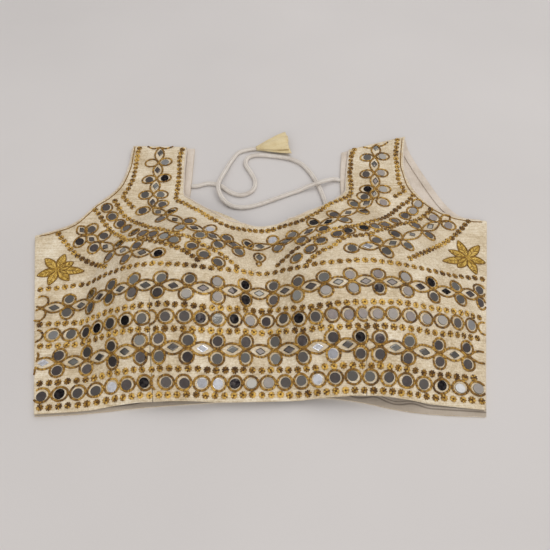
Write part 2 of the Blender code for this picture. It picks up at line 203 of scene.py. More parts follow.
V_MIRRORS = {
    "left": (
        (-191, 62.8), (-182.5, 50), (-171.2, 38), (-160.6, 28), (-146.5, 14), (-133, 5), (-119.5, -1),
        (-105.4, -8), (-92.7, -14.6), (-73.4, -24), (-59.8, -35.5), (-44, -44.3),
    ),
    "right": (
        (189, 69.5), (181.5, 58.6), (170.7, 49), (155, 35.4), (139.7, 22.5), (127, 15.3), (113, 11),
        (95.2, 3.7), (83, -1.8), (63.8, -12), (51.3, -24), (36.6, -33.3),
    ),
}
# Bands of the straps, the neck and the cups' sides. Each pair is the places of its two mirrors, and
# each leaf is the place of its diamond mirror.
PAIRS = {
    "neck_left": (
        ((-146.4, 137.2), (-128.9, 140.3)), ((-145.7, 108.4), (-127.1, 111.6)),
        ((-146.3, 82.8), (-127.8, 84.0)), ((-146.0, 57.3), (-124.5, 67.2)),
        ((-117.2, 33.0), (-109.1, 48.8)), ((-91.2, 7.2), (-82.6, 21.8)), ((-66.8, -5.3), (-58.3, 9.0)),
        ((-46.6, -18.0), (-38.6, -3.4)), ((-25.5, -20.9), (-16.6, -2.4)),
    ),
    "neck_right": (
        ((155.5, 150.0), (134.5, 147.0)), ((150.6, 120.2), (131.4, 117.9)),
        ((150.2, 92.6), (129.0, 92.2)), ((146.7, 71.3), (123.9, 79.9)), ((119.2, 51.4), (109.8, 66.0)),
        ((94.1, 27.4), (82.0, 40.8)), ((67.5, 10.4), (57.8, 24.7)), ((43.2, -4.8), (33.6, 9.6)),
        ((18.0, -7.0), (11.5, 9.0)),
    ),
    "side_left": (
        ((-212.6, 11.9), (-203.2, 30.4)), ((-194.5, 2.9), (-186.0, 20.0)),
        ((-169.4, -17.5), (-161.5, -0.8)), ((-144.4, -30.6), (-135.3, -15.1)),
    ),
    "side_right": (
        ((220.7, 35.8), (203.8, 48.3)), ((191.3, 15.3), (179.4, 31.3)),
        ((157.9, -12.5), (148.0, 3.0)), ((131.8, -27.8), (123.3, -11.3)),
    ),
}
LEAVES = {
    "neck_left": (
        (-138.5, 156.0), (-136.7, 124.4), (-136.6, 96.0), (-135.8, 71.3), (-124.9, 51.5),
        (-100.0, 27.1), (-74.6, 7.8), (-53.0, -5.5), (-31.1, -12.2),
    ),
    "neck_right": (
        (148.8, 165.0), (142.8, 133.8), (140.6, 105.4), (137.6, 84.4), (125.8, 68.7), (100.7, 46.1),
        (75.1, 24.8), (51.2, 9.4), (27.0, 0.8),
    ),
    "side_left": (
        (-214.1, 28.1), (-198.8, 15.1), (-179.2, 2.1), (-152.1, -17.4), (-126.2, -29.5),
    ),
    "side_right": ((222.5, 48.8), (198.9, 33.1), (170.1, 9.2), (141.3, -12.5), (112.3, -21.7)),
}
# Where the outer ends of the bands lie. The bands of the cups' sides end in a ring with a mirror.
FAR_ENDS = {
    "neck_left": (-139.3, 168.5), "neck_right": (150.0, 174.0), "side_left": (-220.5, 35.5),
    "side_right": (233.0, 55.0),
}
END_RINGS = {"side_left": (-107.9, -32.3), "side_right": (94.7, -25.5)}
# Bits of the pattern that the shoulder seams and the side seams cut off.
CUT_ARCS = (
    ((-156, 169), (-148, 164.5), (-139.5, 167)),
    ((-139.5, 167), (-131, 164.8), (-122, 169)),
    ((132, 168), (140, 165.5), (149, 171)),
    ((149, 171), (157, 170), (166, 177)),
    ((265, 14), (262.5, 8), (264, 3)),
    ((264, -3), (260, -10), (262.5, -17), (259.5, -23), (264, -30)),
    ((-264, -1), (-262.5, -6), (-264, -10)),
    ((-264, -17), (-261.5, -23), (-264, -30)),
)
# The drop below the middle of the neck: its line, and the ends and the middle of the leaf over it.
PENDANT = ((-4, 2), (-3, -22), (-4, -36))
PENDANT_LEAF = ((-18, -11.5), (-3, -1.5), (13.5, 0.5))
# Flower of gold petals at each corner: its middle, and the tips of its petals.
FLOWERS = {
    "left": (
        (-230, -27),
        (
            (-199.5, -29), (-213.9, -17), (-226.3, -6), (-247.1, -12), (-250.5, -35), (-235, -47),
            (-213.7, -41),
        ),
    ),
    "right": (
        (233, -11),
        (
            (198, -25), (212, -2.9), (226.5, 12.5), (250.4, 6), (251.5, -18.4), (237, -35),
            (216.6, -28),
        ),
    ),
}
PETAL_HALF_WIDTH = 4.9
# Gold thread beside the armholes.
ARMHOLE_THREADS = {
    "left": (
        (-262, 20.5), (-249, 24.6), (-225.5, 35.8), (-211.3, 54.6), (-203.5, 67), (-191, 79),
        (-179, 99), (-173.5, 129), (-173.5, 150), (-174, 168),
    ),
    "right": (
        (262, 41.5), (247, 43), (226, 48.5), (207, 61), (191, 79), (182, 97), (179, 118),
        (178.5, 140), (187, 184),
    ),
}

# Mirrors and stitches
MIRROR_RADIUS = 4.95 * MM
MIRROR_THICK = 0.7 * MM
MIRROR_LIFT = 0.32 * MM
GROUND_EDGE = 0.22 * MM
DIAMOND_HALF = (6.1 * MM, 3.8 * MM)
STITCH = 1.42
# Stitches of each kind. Columns: length, width, height.
RING_GRAIN = (3.1, 2.25, 1.6)
KNOT_GRAIN = (3.6, 1.3, 1.7)
DOT_GRAIN = (3.0, 1.9, 1.35)
DOT_MIDDLE = (1.9, 1.9, 1.2)
OUTLINE_GRAIN = (2.1, 1.2, 1.7)
EDGE_GRAIN = (2.4, 1.2, 1.1)
# Half sizes of the rings, along and across their band.
SINGLE_RING = (7.4, 7.0)
PAIR_RING = (6.9, 7.0)
V_RING = (7.0, 6.3)
END_RING = (7.6, 6.8)
PENDANT_RING = (7.6, 6.6)
MIDDLE_RING = (2.6, 2.6)
PAIR_OFFSET = 8.0  # how far each ring of a pair lies beside the middle of its row
LEAF_HEIGHT = 6.2
DOT_STITCHES = 9
DOT_REACH = 2.15
# Columns: where the first dot lies on its line, and the way from each dot to the next.
BODY_DOTS = (4.2, 8.9)
UPPER_DOTS = (3.6, 7.2)
ROLL_RADIUS = 1.2 * MM
ROLL_SIDES = 8
# How far the lining's roll lies beside the line that it follows. Columns: line, distance.
ROLLS = {
    "armhole_roll_left": (ARMHOLE_THREADS["left"], 7.0),
    "armhole_roll_right": (ARMHOLE_THREADS["right"], -7.0),
    "neck_roll": (DOT_LINES["neck"], 10.0),
}

# Cloth
FACES_OUT = 0.02  # a face that looks up by more than this is on the outer side
SOFT_EDGE = 0.3 * MM
# Puckers. Columns: size in metres, seed, height in millimetres.
PUCKERS = ((0.026, 3.0, 0.9), (0.011, 9.0, 0.6), (0.0055, 5.0, 0.25))

# Threads. Columns: dark, middle and bright shade. The dark shade is painted shade and the bright one a
# painted glint on the gold.
THREADS = {
    "ring_thread": ((0.060, 0.024, 0.003), (0.29, 0.142, 0.015), (0.74, 0.46, 0.10)),
    "dot_thread": ((0.065, 0.024, 0.003), (0.34, 0.170, 0.018), (0.88, 0.58, 0.14)),
    "flower_thread": ((0.16, 0.070, 0.008), (0.55, 0.33, 0.040), (0.95, 0.70, 0.20)),
}

# Lamps over the table. Columns: place, size, power, colour.
LAMPS = {
    "main_light": ((1.05, 0.72, 2.65), (3.0, 3.0), 34.5, (1.0, 0.99, 0.985)),
    "fill_light": ((-0.44, -2.48, 1.63), (2.2, 1.2), 14.0, (1.0, 0.97, 0.92)),
}


# Materials


class Value:
    """One output inside a material. Python's operators on it add Math nodes."""

    def __init__(self, finish, socket):
        self.finish = finish
        self.socket = socket

    def maths(self, operation, first, second=0.0):
        return self.finish.node("ShaderNodeMath", {"operation": operation}, {0: first, 1: second})

    def __add__(self, other):
        return self.maths("ADD", self, other)

    def __sub__(self, other):
        return self.maths("SUBTRACT", self, other)

    def __rsub__(self, other):
        return self.maths("SUBTRACT", other, self)

    def __mul__(self, other):
        return self.maths("MULTIPLY", self, other)

    def __truediv__(self, other):
        return self.maths("DIVIDE", self, other)

    def __pow__(self, other):
        return self.maths("POWER", self, other)

    def sine(self):
        return self.maths("SINE", self)

    def size(self):
        return self.maths("ABSOLUTE", self)

    def kept(self):
        """The value, held between 0 and 1."""
        return self.maths("MAXIMUM", self.maths("MINIMUM", self, 1.0), 0.0)

    def above(self, low, high):
        """0 below low, 1 above high, and a soft step between them."""
        return self.finish.node(
            "ShaderNodeMapRange",
            {"interpolation_type": "SMOOTHSTEP"},
            {0: self, 1: low, 2: high},
        )

    __radd__ = __add__
    __rmul__ = __mul__


class Finish:
    """A material, or the air around the scene, built node by node."""

    def __init__(self, made):
        self.made = made
        made.use_nodes = True
        self.tree = made.node_tree
        self.tree.nodes.clear()
        self.spots = None

    def node(self, kind, settings=None, inputs=None, output=0):
        """Adds a node: its settings first, then the values or links of its sockets."""
        made = self.tree.nodes.new(kind)
        for key, value in (settings or {}).items():
            if key == "stops":
                self.set_stops(made.color_ramp, value)
            else:
                setattr(made, key, value)
        for key, value in (inputs or {}).items():
            self.put(made.inputs[key], value)
        return Value(self, made.outputs[output]) if len(made.outputs) else made

    def set_stops(self, ramp, stops):
        while len(ramp.elements) < len(stops):
            ramp.elements.new(1.0)
        for element, (place, colour) in zip(ramp.elements, stops):
            element.position = place
            element.color = (*colour, 1.0)

    def put(self, socket, value):
        if isinstance(value, Value):
            self.tree.links.new(value.socket, socket)
        elif hasattr(value, "__len__") and socket.type == "RGBA" and len(value) == 3:
            socket.default_value = (*value, 1.0)
        else:
            socket.default_value = value

    def place(self, stretch=None):
        """The object's own coordinates in metres, stretched where asked."""
        if self.spots is None:
            self.spots = self.node("ShaderNodeTexCoord", output="Object")
        if stretch is None:
            return self.spots
        return self.stretched(self.spots, stretch)

    def stretched(self, where, stretch):
        return self.node("ShaderNodeVectorMath", {"operation": "MULTIPLY"}, {0: where, 1: stretch})

    def tone(self):
        """The tone that each sewn shape was given, from 0 to 1."""
        return self.node("ShaderNodeAttribute", {"attribute_name": "tone"}, output="Fac")

    def laid_along(self):
        """The piece's own map: along it, then round it."""
        return self.node("ShaderNodeUVMap", {"uv_map": "along"})

    def across(self, source, axis):
        return self.node("ShaderNodeSeparateXYZ", None, {0: source}, axis)

    def grain(self, size, detail=2.0, rough=0.5, stretch=None, where=None):
        """Soft noise from 0 to 1, with features of about this size in metres."""
        return self.node(
            "ShaderNodeTexNoise",
            {"normalize": True},
            {
                "Vector": where or self.place(stretch),
                "Scale": 1.0 / size,
                "Detail": detail,
                "Roughness": rough,
            },
        )

    def from_line(self, start, end):
        """Distance in metres from the straight line between two plan points."""
        across = self.across(self.place(), 0) - start[0]
        away = self.across(self.place(), 1) - start[1]
        wide = end[0] - start[0]
        deep = end[1] - start[1]
        share = ((across * wide + away * deep) / (wide**2 + deep**2)).kept()
        aside = across - share * wide
        beyond = away - share * deep
        return (aside * aside + beyond * beyond) ** 0.5

    def mix(self, share, first, second):
        return self.node("ShaderNodeMix", {"data_type": "RGBA"}, {0: share, 6: first, 7: second}, 2)

    def ramp(self, share, *stops):
        return self.node("ShaderNodeValToRGB", {"stops": stops}, {0: share})

    def bump(self, height, distance, below=None):
        inputs = {"Height": height, "Distance": distance, "Strength": 1.0}
        if below is not None:
            inputs["Normal"] = below
        return self.node("ShaderNodeBump", None, inputs)

    def surface(self, **inputs):
        """Ends the material with a Principled shader. Spaces in socket names are underscores."""
        named = {key.replace("_", " "): value for key, value in inputs.items()}
        shader = self.node("ShaderNodeBsdfPrincipled", None, named)
        self.node("ShaderNodeOutputMaterial", None, {"Surface": shader})
        return self.made


def new_finish(name):
    return Finish(bpy.data.materials.new(name))


def cream_silk():
    """Hand-woven silk: uneven yarns both ways, thick slubs across, soft blotches, and painted glints on
    its nubs.
    """
    silk = new_finish("cream_slub_silk")
    slubs = silk.grain(0.0011, 3.0, 0.6, (0.055, 1.0, 1.0))
    fine_slubs = silk.grain(0.0006, 2.0, 0.5, (0.05, 1.0, 1.0))
    warp = silk.grain(0.0008, 2.0, 0.5, (1.0, 0.05, 0.4))
    blotch = silk.grain(0.026, 3.0, 0.55)
    folds = silk.grain(0.010, 3.0, 0.6)
    nubs_and_glints = silk.grain(0.0022, 3.0, 0.75)
    # The top stop, which the nubs and slubs reach, is a painted highlight; the lower stops are the
    # yarns' own uneven tone.
    colour = silk.ramp(
        slubs * 0.35 + nubs_and_glints * 0.35 + blotch * 0.30,
        (0.38, (0.50, 0.375, 0.212)),
        (0.49, (0.715, 0.590, 0.400)),
        (0.56, (0.835, 0.725, 0.54)),
        (0.64, (0.96, 0.870, 0.70)),
    )
    thick = fine_slubs.above(0.60, 0.80)
    colour = silk.mix(thick * 0.5, colour, (0.84, 0.76, 0.60))
    colour = silk.mix(warp.above(0.56, 0.78) * 0.25, colour, (0.40, 0.30, 0.17))
    wander = silk.grain(0.009, 1.0) * 0.0016
    seams = []
    for x, y, low_x, low_y in SEAMS:
        away = silk.from_line((x * MM, y * MM), (low_x * MM, low_y * MM)) + wander
        seams.append(1.0 - away.above(0.0008, 0.0014))
    seam = seams[0] + seams[1]
    colour = silk.mix(seam * 0.7, colour, (0.11, 0.07, 0.035))
    thread = silk.grain(0.00035, 1.0, 0.5, (0.4, 1.0, 1.0))
    height = slubs * 0.50 + fine_slubs * 0.3 + warp * 0.35 + thread * 0.2 - seam * 1.5
    low = silk.bump(folds, 0.0022)
    normal = silk.bump(height + nubs_and_glints * 0.6, 0.0004, low)
    rough = 0.62 - slubs * 0.18
    return silk.surface(
        Base_Color=colour,
        Roughness=rough,
        Normal=normal,
        Sheen_Weight=0.25,
        Sheen_Roughness=0.4,
        Specular_IOR_Level=0.45,
    )


def cotton_lining():
    """Plain off-white lining, with a fine weave and soft creases, and painted shade along the back's
    hem.
    """
    lining = new_finish("off_white_lining")
    over = lining.grain(0.0007, 1.0, 0.5, (0.08, 1.0, 1.0))
    under = lining.grain(0.0007, 1.0, 0.5, (1.0, 0.08, 1.0))
    blotch = lining.grain(0.03, 3.0, 0.6)
    colour = lining.ramp(
        blotch * 0.6 + over * 0.2 + under * 0.2,
        (0.32, (0.56, 0.475, 0.38)),
        (0.50, (0.70, 0.61, 0.515)),
        (0.68, (0.79, 0.71, 0.625)),
    )
    hem = 1.0
    for start, end in zip(BACK_HEM, BACK_HEM[1:]):
        line = [(x * MM, y * MM) for x, y in (start, end)]
        hem = hem * lining.from_line(*line).above(0.0, 0.02)
    # Two dark lines along the back's hem: partly painted shadow of the gap under the front's hem,
    # partly dark piping.
    outer = hem.above(0.05, 0.11) - hem.above(0.11, 0.17)
    inner = hem.above(0.22, 0.27) - hem.above(0.27, 0.33)
    edges = outer + inner
    # Painted shade on the lining near the back's hem, where it lies under the front's hem.
    colour = lining.mix((1.0 - hem) * 0.6, colour, (0.33, 0.27, 0.20))
    colour = lining.mix(edges * 0.7, colour, (0.10, 0.075, 0.055))
    creases = lining.grain(0.009, 3.0, 0.6)
    low = lining.bump(creases, 0.0008)
    normal = lining.bump(over * 0.5 + under * 0.5, 0.0003, low)
    return lining.surface(
        Base_Color=colour,
        Roughness=0.80 - over * 0.1,
        Normal=normal,
        Sheen_Weight=0.2,
        Specular_IOR_Level=0.3,
    )


def tie_cotton():
    """Bias-cut cord: weave lines that wind round it, a sewn seam along one side, and painted shade in
    its wrinkles.
    """
    cord = new_finish("sewn_tie")
    spread = cord.laid_along()
    along = cord.across(spread, 0)
    round_it = cord.across(spread, 1)
    weave = ((along * 5200.0) + (round_it * 50.3)).sine()
    cross = ((along * 5200.0) - (round_it * 50.3)).sine()
    seam = 1.0 - ((round_it - 0.25).size()).above(0.006, 0.03)
    puckers = cord.grain(0.0045, 3.0, 0.6)
    blotch = cord.grain(0.02, 2.0, 0.5)
    # The pucker noise that raises the bump also lightens the colour, so the wrinkles' hollows carry
    # painted shade; the blotches are random tone.
    colour = cord.ramp(
        puckers * 0.45 + blotch * 0.55,
        (0.30, (0.66, 0.59, 0.52)),
        (0.50, (0.78, 0.72, 0.65)),
        (0.70, (0.85, 0.80, 0.735)),
    )
    colour = cord.mix(seam * 0.5, colour, (0.45, 0.40, 0.33))
    height = weave * 0.12 + cross * 0.12 + puckers * 1.6 - seam * 0.8
    return cord.surface(
        Base_Color=colour,
        Roughness=0.72 + weave * 0.04,
        Normal=cord.bump(height, 0.0004),
        Sheen_Weight=0.2,
        Specular_IOR_Level=0.35,
    )


def tassel_silk():
    """The same silk in a yellower shade, with its yarns running down the cone."""
    silk = new_finish("pale_gold_silk")
    spread = silk.stretched(silk.laid_along(), (90.0, 260.0, 1.0))
    yarns = silk.grain(1.0, 3.0, 0.6, None, spread)
    blotch = silk.grain(0.012, 3.0, 0.55)
    colour = silk.ramp(
        yarns * 0.5 + blotch * 0.5,
        (0.30, (0.60, 0.44, 0.20)),
        (0.50, (0.79, 0.65, 0.37)),
        (0.70, (0.88, 0.77, 0.50)),
    )
    creases = silk.grain(0.006, 3.0, 0.6)
    low = silk.bump(creases, 0.0008)
    return silk.surface(
        Base_Color=colour,
        Roughness=0.58 - yarns * 0.15,
        Normal=silk.bump(yarns, 0.0003, low),
        Sheen_Weight=0.25,
        Specular_IOR_Level=0.45,
    )


def gold_thread(name, dark, middle, bright):
    """Metal-wrapped thread: each stitch has its own tone, which runs from painted shade to a painted
    glint, with painted shade between the wraps.
    """
    thread = new_finish(name)
    tone = thread.tone()
    wraps = thread.grain(0.00045, 2.0, 0.6)
    # The wraps' noise darkens the colour between the wraps: painted shade in the thread's crevices.
    share = tone * 0.72 + wraps * 0.42 - 0.08
    colour = thread.ramp(share, (0.12, dark), (0.50, middle), (0.88, bright))
    return thread.surface(
        Base_Color=colour,
        Metallic=0.15 + tone * 0.3,
        Roughness=0.52 - tone * 0.16,
        Normal=thread.bump(wraps, 0.00025),
    )


def sewn_mirror():
    """Small hand-cut mirror with fine scratches. Each gets its own painted reflection, from near black
    through greys to a bluish white glint.
    """
    glass = new_finish("sewn_mirror")
    tone = glass.tone()
    cloud = glass.grain(0.0035, 3.0, 0.6)
    scratches = glass.grain(0.0009, 2.0, 0.6, (0.15, 1.0, 1.0)).above(0.62, 0.74)
    # The tone picks each mirror's painted reflection: dark grey for most, a few near black, a few light
    # grey to bluish white glints.
    colour = glass.ramp(
        tone,
        (0.05, (0.012, 0.010, 0.012)),
        (0.10, (0.120, 0.100, 0.096)),
        (0.45, (0.170, 0.149, 0.136)),
        (0.84, (0.208, 0.197, 0.176)),
        (0.93, (0.335, 0.33, 0.30)),
        (0.96, (0.48, 0.48, 0.50)),
        (0.978, (0.95, 0.96, 1.0)),
    )
    colour = glass.mix(cloud.above(0.35, 0.75) * 0.30, colour, (0.25, 0.225, 0.21))
    rough = 0.035 + cloud.above(0.5, 0.8) * 0.06 + scratches * 0.06
    return glass.surface(
        Base_Color=colour,
        Metallic=1.0,
        Roughness=rough,
        Normal=glass.bump(cloud, 0.00003),
    )


def hook_steel():
    """Thin plain wire with a dull drawn surface."""
    wire = new_finish("hook_wire")
    drawn = wire.grain(0.0006, 2.0, 0.6)
    stain = wire.grain(0.004, 3.0, 0.6)
    colour = wire.ramp(stain, (0.30, (0.30, 0.29, 0.28)), (0.70, (0.56, 0.56, 0.57)))
    return wire.surface(
        Base_Color=colour, Metallic=1.0, Roughness=0.28 + drawn * 0.2, Normal=wire.bump(drawn, 0.0001)
    )


def table_top():
    """Plain pale table with a faint unevenness."""
    top = new_finish("pale_table")
    cloud = top.grain(0.35, 3.0, 0.5)
    speck = top.grain(0.0012, 2.0, 0.5)
    colour = top.ramp(cloud, (0.30, (0.655, 0.628, 0.612)), (0.70, (0.70, 0.672, 0.655)))
    return top.surface(
        Base_Color=colour, Roughness=0.62 + cloud * 0.1, Normal=top.bump(speck, 0.00006)
    )


# Lines and meshes


def curve_at(before, start, end, after, share):
    """A Catmull-Rom curve at this share of the way from start to end."""
    bend = (2 * before - 5 * start + 4 * end - after) * share**2
    twist = (3 * start - before - 3 * end + after) * share**3
    return 0.5 * (2 * start + (end - before) * share + bend + twist)


def smooth_line(points, steps=24):
    """A smooth line through the points, as vectors."""
    given = [Vector(p) for p in points]
    padded = [2 * given[0] - given[1], *given, 2 * given[-1] - given[-2]]
    line = [given[0]]
    for stretch in zip(padded, padded[1:], padded[2:], padded[3:]):
        line += [curve_at(*stretch, step / steps) for step in range(1, steps + 1)]
    return line


def evenly(points, step):
    """A smooth line through the points, cut into equal stretches of about this length."""
    line = smooth_line(points)
    reached = [0.0]
    for start, end in zip(line, line[1:]):
        reached.append(reached[-1] + (end - start).length)
    count = max(round(reached[-1] / step), 2)
    found = []
    place = 0
    for number in range(count + 1):
        distance = reached[-1] * number / count
        while place < len(line) - 2 and reached[place + 1] < distance:
            place += 1
        share = (distance - reached[place]) / max(reached[place + 1] - reached[place], 1e-9)
        found.append(line[place].lerp(line[place + 1], min(max(share, 0.0), 1.0)))
    return found


def deselect_all():
    bpy.ops.object.select_all(action="DESELECT")


def pick(piece):
    """Makes this the only selected object, and the active one."""
    deselect_all()
    piece.select_set(True)
    bpy.context.view_layer.objects.active = piece


def add_piece(name, mesh, *materials):
    made = bpy.data.objects.new(name, mesh)
    bpy.context.scene.collection.objects.link(made)
    for material in materials:
        mesh.materials.append(material)
    return made


def from_bmesh(name, mesh, *materials):
    data = bpy.data.meshes.new(name)
    mesh.to_mesh(data)
    mesh.free()
    data.shade_smooth()
    return add_piece(name, data, *materials)


def apply_all(piece):
    pick(piece)
    for modifier in list(piece.modifiers):
        bpy.ops.object.modifier_apply(modifier=modifier.name)


def subdivide(piece, levels):
    made = piece.modifiers.new("finer", "SUBSURF")
    made.levels = levels
    made.render_levels = levels


def sections(line):
    """Each point of a line, with the ways to its left and upwards."""
    for index, point in enumerate(line):
        way = (line[min(index + 1, len(line) - 1)] - line[max(index - 1, 0)]).normalized()
        left = UP.cross(way).normalized()
        yield point, left, way.cross(left)


def skin(mesh, rings, uv=None, step=1.0):
    """Faces from each ring of points to the next, and one over the first ring.

    Their map runs along by this step for each ring, and round from 0 to 1.
    """
    sides = len(rings[0])
    corners = ((0, 0), (0, 1), (1, 1), (1, 0))
    for index, (low, high) in enumerate(zip(rings, rings[1:])):
        for number in range(sides):
            after = (number + 1) % sides
            face = mesh.faces.new((low[number], low[after], high[after], high[number]))
            if uv is None:
                continue
            for loop, (ahead, over) in zip(face.loops, corners):
                loop[uv].uv = ((index + ahead) * step, (number + over) / sides)
    mesh.faces.new(rings[0][::-1])


def copy_of(node, name, *materials):
    """A merged copy of a CAD node's mesh in four-sided faces, which takes the node's place."""
    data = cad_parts[node].data.copy()
    data.materials.clear()
    piece = add_piece(name, data, *materials)
    pick(piece)
    bpy.ops.mesh.customdata_custom_splitnormals_clear()
    bpy.ops.object.mode_set(mode="EDIT")
    bpy.ops.mesh.select_all(action="SELECT")
    bpy.ops.mesh.remove_doubles(threshold=0.000002)
    bpy.ops.mesh.tris_convert_to_quads(
        face_threshold=math.radians(50), shape_threshold=math.radians(60)
    )
    bpy.ops.mesh.select_all(action="DESELECT")
    bpy.ops.object.mode_set(mode="OBJECT")
    data.name = name
    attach(piece, "root")
    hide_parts(node)
    return piece


def crease_edges(piece, angle, amount):
    """Keeps the edges that turn by more than the angle from being rounded away."""
    mesh = bmesh.new()
    mesh.from_mesh(piece.data)
    layer = mesh.edges.layers.float.get("crease_edge") or mesh.edges.layers.float.new("crease_edge")
    for edge in mesh.edges:
        if len(edge.link_faces) == 2 and edge.calc_face_angle(0.0) > math.radians(angle):
            edge[layer] = amount
    mesh.to_mesh(piece.data)
    mesh.free()


# The cloth


def ripple(x, y, size, seed):
    return noise.noise(Vector((x / size, y / size, seed)))


def beside(x, y, line):
    """Distance from a straight line, given by its two ends, on the plan."""
    start = Vector(line[:2])
    way = Vector(line[2:]) - start
    share = min(max((Vector((x, y)) - start).dot(way) / way.length_squared, 0.0), 1.0)
    return (Vector((x, y)) - start - way * share).length


def pucker_cloth(piece):
    """Lifts the cloth in small soft puckers. It never goes lower than it was."""
    for vertex in piece.data.vertices:
        x, y, z = vertex.co
        share = min(max((z - 0.0042) / 0.010, 0.30), 1.0)
        share *= min(min(beside(x / MM, y / MM, seam) for seam in SEAMS) / 7.0, 1.0)
        lift = sum(
            height * (0.5 + 0.5 * ripple(x, y, size, seed)) for size, seed, height in PUCKERS
        )
        vertex.co.z = z + share * lift * MM
    piece.data.update()


class Cloth:
    """The outer face of the finished front, on which everything is sewn."""

    def __init__(self, piece):
        points = [vertex.co.copy() for vertex in piece.data.vertices]
        faces = [tuple(face.vertices) for face in piece.data.polygons if face.normal.z > FACES_OUT]
        self.tree = BVHTree.FromPolygons(points, faces)

    def under(self, x, y):
        """The point of the cloth under this place, in metres, and its normal. None off the cloth."""
        place, normal, _, _ = self.tree.ray_cast(Vector((x, y, 0.2)), -UP)
        return (place, normal) if place else None

    def nearest(self, point):
        place, normal, _, _ = self.tree.find_nearest(point)
        return place, normal


class Band:
    """A line sewn on the cloth. Places on it are millimetres along it and to its left side."""

    def __init__(self, cloth, spots):
        self.cloth = cloth
        self.points = [place for place, _ in spots]
        self.normals = [normal for _, normal in spots]
        self.reached = [0.0]
        for start, end in zip(self.points, self.points[1:]):
            self.reached.append(self.reached[-1] + (end - start).length / MM)
        self.length = self.reached[-1]
        self.keep = (0.0, self.length)

    def spot(self, along, aside=0.0):
        """The point, the way along, the way to the side and the normal, or None outside keep."""
        if not self.keep[0] <= along <= self.keep[1]:
            return None
        index = min(int(np.searchsorted(self.reached, along, side="right")) - 1, len(self.points) - 2)
        span = max(self.reached[index + 1] - self.reached[index], 1e-6)
        share = (along - self.reached[index]) / span
        place = self.points[index].lerp(self.points[index + 1], share)
        normal = self.normals[index].lerp(self.normals[index + 1], share).normalized()
        first = self.points[max(index - 1, 0)]
        last = self.points[min(index + 2, len(self.points) - 1)]
        way = (last - first).normalized()
        side = normal.cross(way).normalized()
        place, normal = self.cloth.nearest(place + side * (aside * MM))
        side = normal.cross(way).normalized()
        return place, side.cross(normal), side, normal

    def holds(self, along):
        """True where a whole mirror fits between the seams and inside the kept stretch."""
        return max(self.keep[0], 4.0) <= along <= min(self.keep[1], self.length - 4.0)

    def nearest_along(self, x, y):
        """Distance along the line that is closest to this plan point in millimetres."""
        target = Vector((x * MM, y * MM))
        index = min(range(len(self.points)), key=lambda i: (self.points[i].to_2d() - target).length)
        return self.reached[index]

    def crossing(self, line):
        """Distance along the band where it crosses a nearly upright plan line in millimetres."""
        top_x, top_y, low_x, low_y = line
        for index, point in enumerate(self.points):
            share = (point.y / MM - low_y) / (top_y - low_y)
            if point.x / MM >= low_x + (top_x - low_x) * share:
                return self.reached[index]
        return self.length


def carried_on(inner, outer, beyond):
    """The outer spot, moved on in a straight line by this many millimetres."""
    way = (outer[0] - inner[0]).normalized()
    return outer[0] + way * (beyond * MM), outer[1]


def plan_band(cloth, table, step=0.002, beyond=0.0):
    """A band through plan points in millimetres, carried straight on beyond its ends."""
    line = evenly([(x * MM, y * MM) for x, y in table], step)
    spots = [spot for spot in (cloth.under(*point) for point in line) if spot]
    if beyond:
        start = carried_on(spots[1], spots[0], beyond)
        end = carried_on(spots[-2], spots[-1], beyond)
        spots = [start, *spots, end]
    return Band(cloth, spots)


def climb_columns(cloth):
    """Columns of the cloth from the hem up: each has plan points by their distance up the cloth."""
    columns = []
    count = round((HEM_ENDS[1] - HEM_ENDS[0]) / COLUMN_STEP)
    for number in range(count + 1):
        hem_x = (HEM_ENDS[0] + (HEM_ENDS[1] - HEM_ENDS[0]) * number / count) * MM
        hem_y = HEM_LOOK[0] * MM
        while not cloth.under(hem_x, hem_y):
            hem_y += HEM_LOOK[1] * MM
        flare = FLARES[0] if hem_x < 0 else FLARES[1]
        spots = []
        for step in range(CLIMB_STEPS):
            rise = step * CLIMB_STEP * MM
            spot = cloth.under(hem_x * (1 + flare * rise), hem_y + rise)
            if spot:
                spots.append(spot)
        columns.append((hem_x / MM, Band(cloth, spots)))
    return columns


def row_band(cloth, columns, name):
    """One row of the body, across all columns."""
    heights = ROWS[name]
    spots = []
    for hem_x, column in columns:
        place, _, _, normal = column.spot(between(hem_x, ROW_X, heights))
        spots.append((place, normal))
    return Band(cloth, spots)


def between(x, places, values):
    """A smooth value at x between rows of a table."""
    if x <= places[0]:
        return values[0]
    for index in range(len(places) - 1):
        if x <= places[index + 1]:
            share = (x - places[index]) / (places[index + 1] - places[index])
            before = values[max(index - 1, 0)]
            after = values[min(index + 2, len(values) - 1)]
            return curve_at(before, values[index], values[index + 1], after, share)
    return values[-1]


# Small shapes, each modelled once


def take_shape(piece):
    """The points and faces of a small model, which is then removed."""
    points = np.array([vertex.co[:] for vertex in piece.data.vertices])
    faces = [tuple(face.vertices) for face in piece.data.polygons]
    data = piece.data
    bpy.data.objects.remove(piece)
    bpy.data.meshes.remove(data)
    return points, faces


def model_stitch():
    """A grain of thread, one metre long, wide and high, pointed at its ends."""
    deselect_all()
    bpy.ops.mesh.primitive_uv_sphere_add(segments=6, ring_count=4, radius=0.5)
    piece = bpy.context.object
    piece.rotation_euler = (0, math.pi / 2, 0)
    bpy.ops.object.transform_apply(rotation=True)
    return take_shape(piece)


def select_top_edges(piece):
    """In edit mode: selects the edges of the face that looks up."""
    mesh = bmesh.from_edit_mesh(piece.data)
    for edge in mesh.edges:
        edge.select = any(face.normal.z > 0.9 for face in edge.link_faces)
    mesh.select_flush(True)
    bmesh.update_edit_mesh(piece.data)


def bevelled(piece, width):
    bpy.ops.object.mode_set(mode="EDIT")
    bpy.ops.mesh.select_mode(type="EDGE")
    bpy.ops.mesh.select_all(action="DESELECT")
    select_top_edges(piece)
    bpy.ops.mesh.bevel(offset=width, segments=2, affect="EDGES")
    bpy.ops.object.mode_set(mode="OBJECT")
    return piece


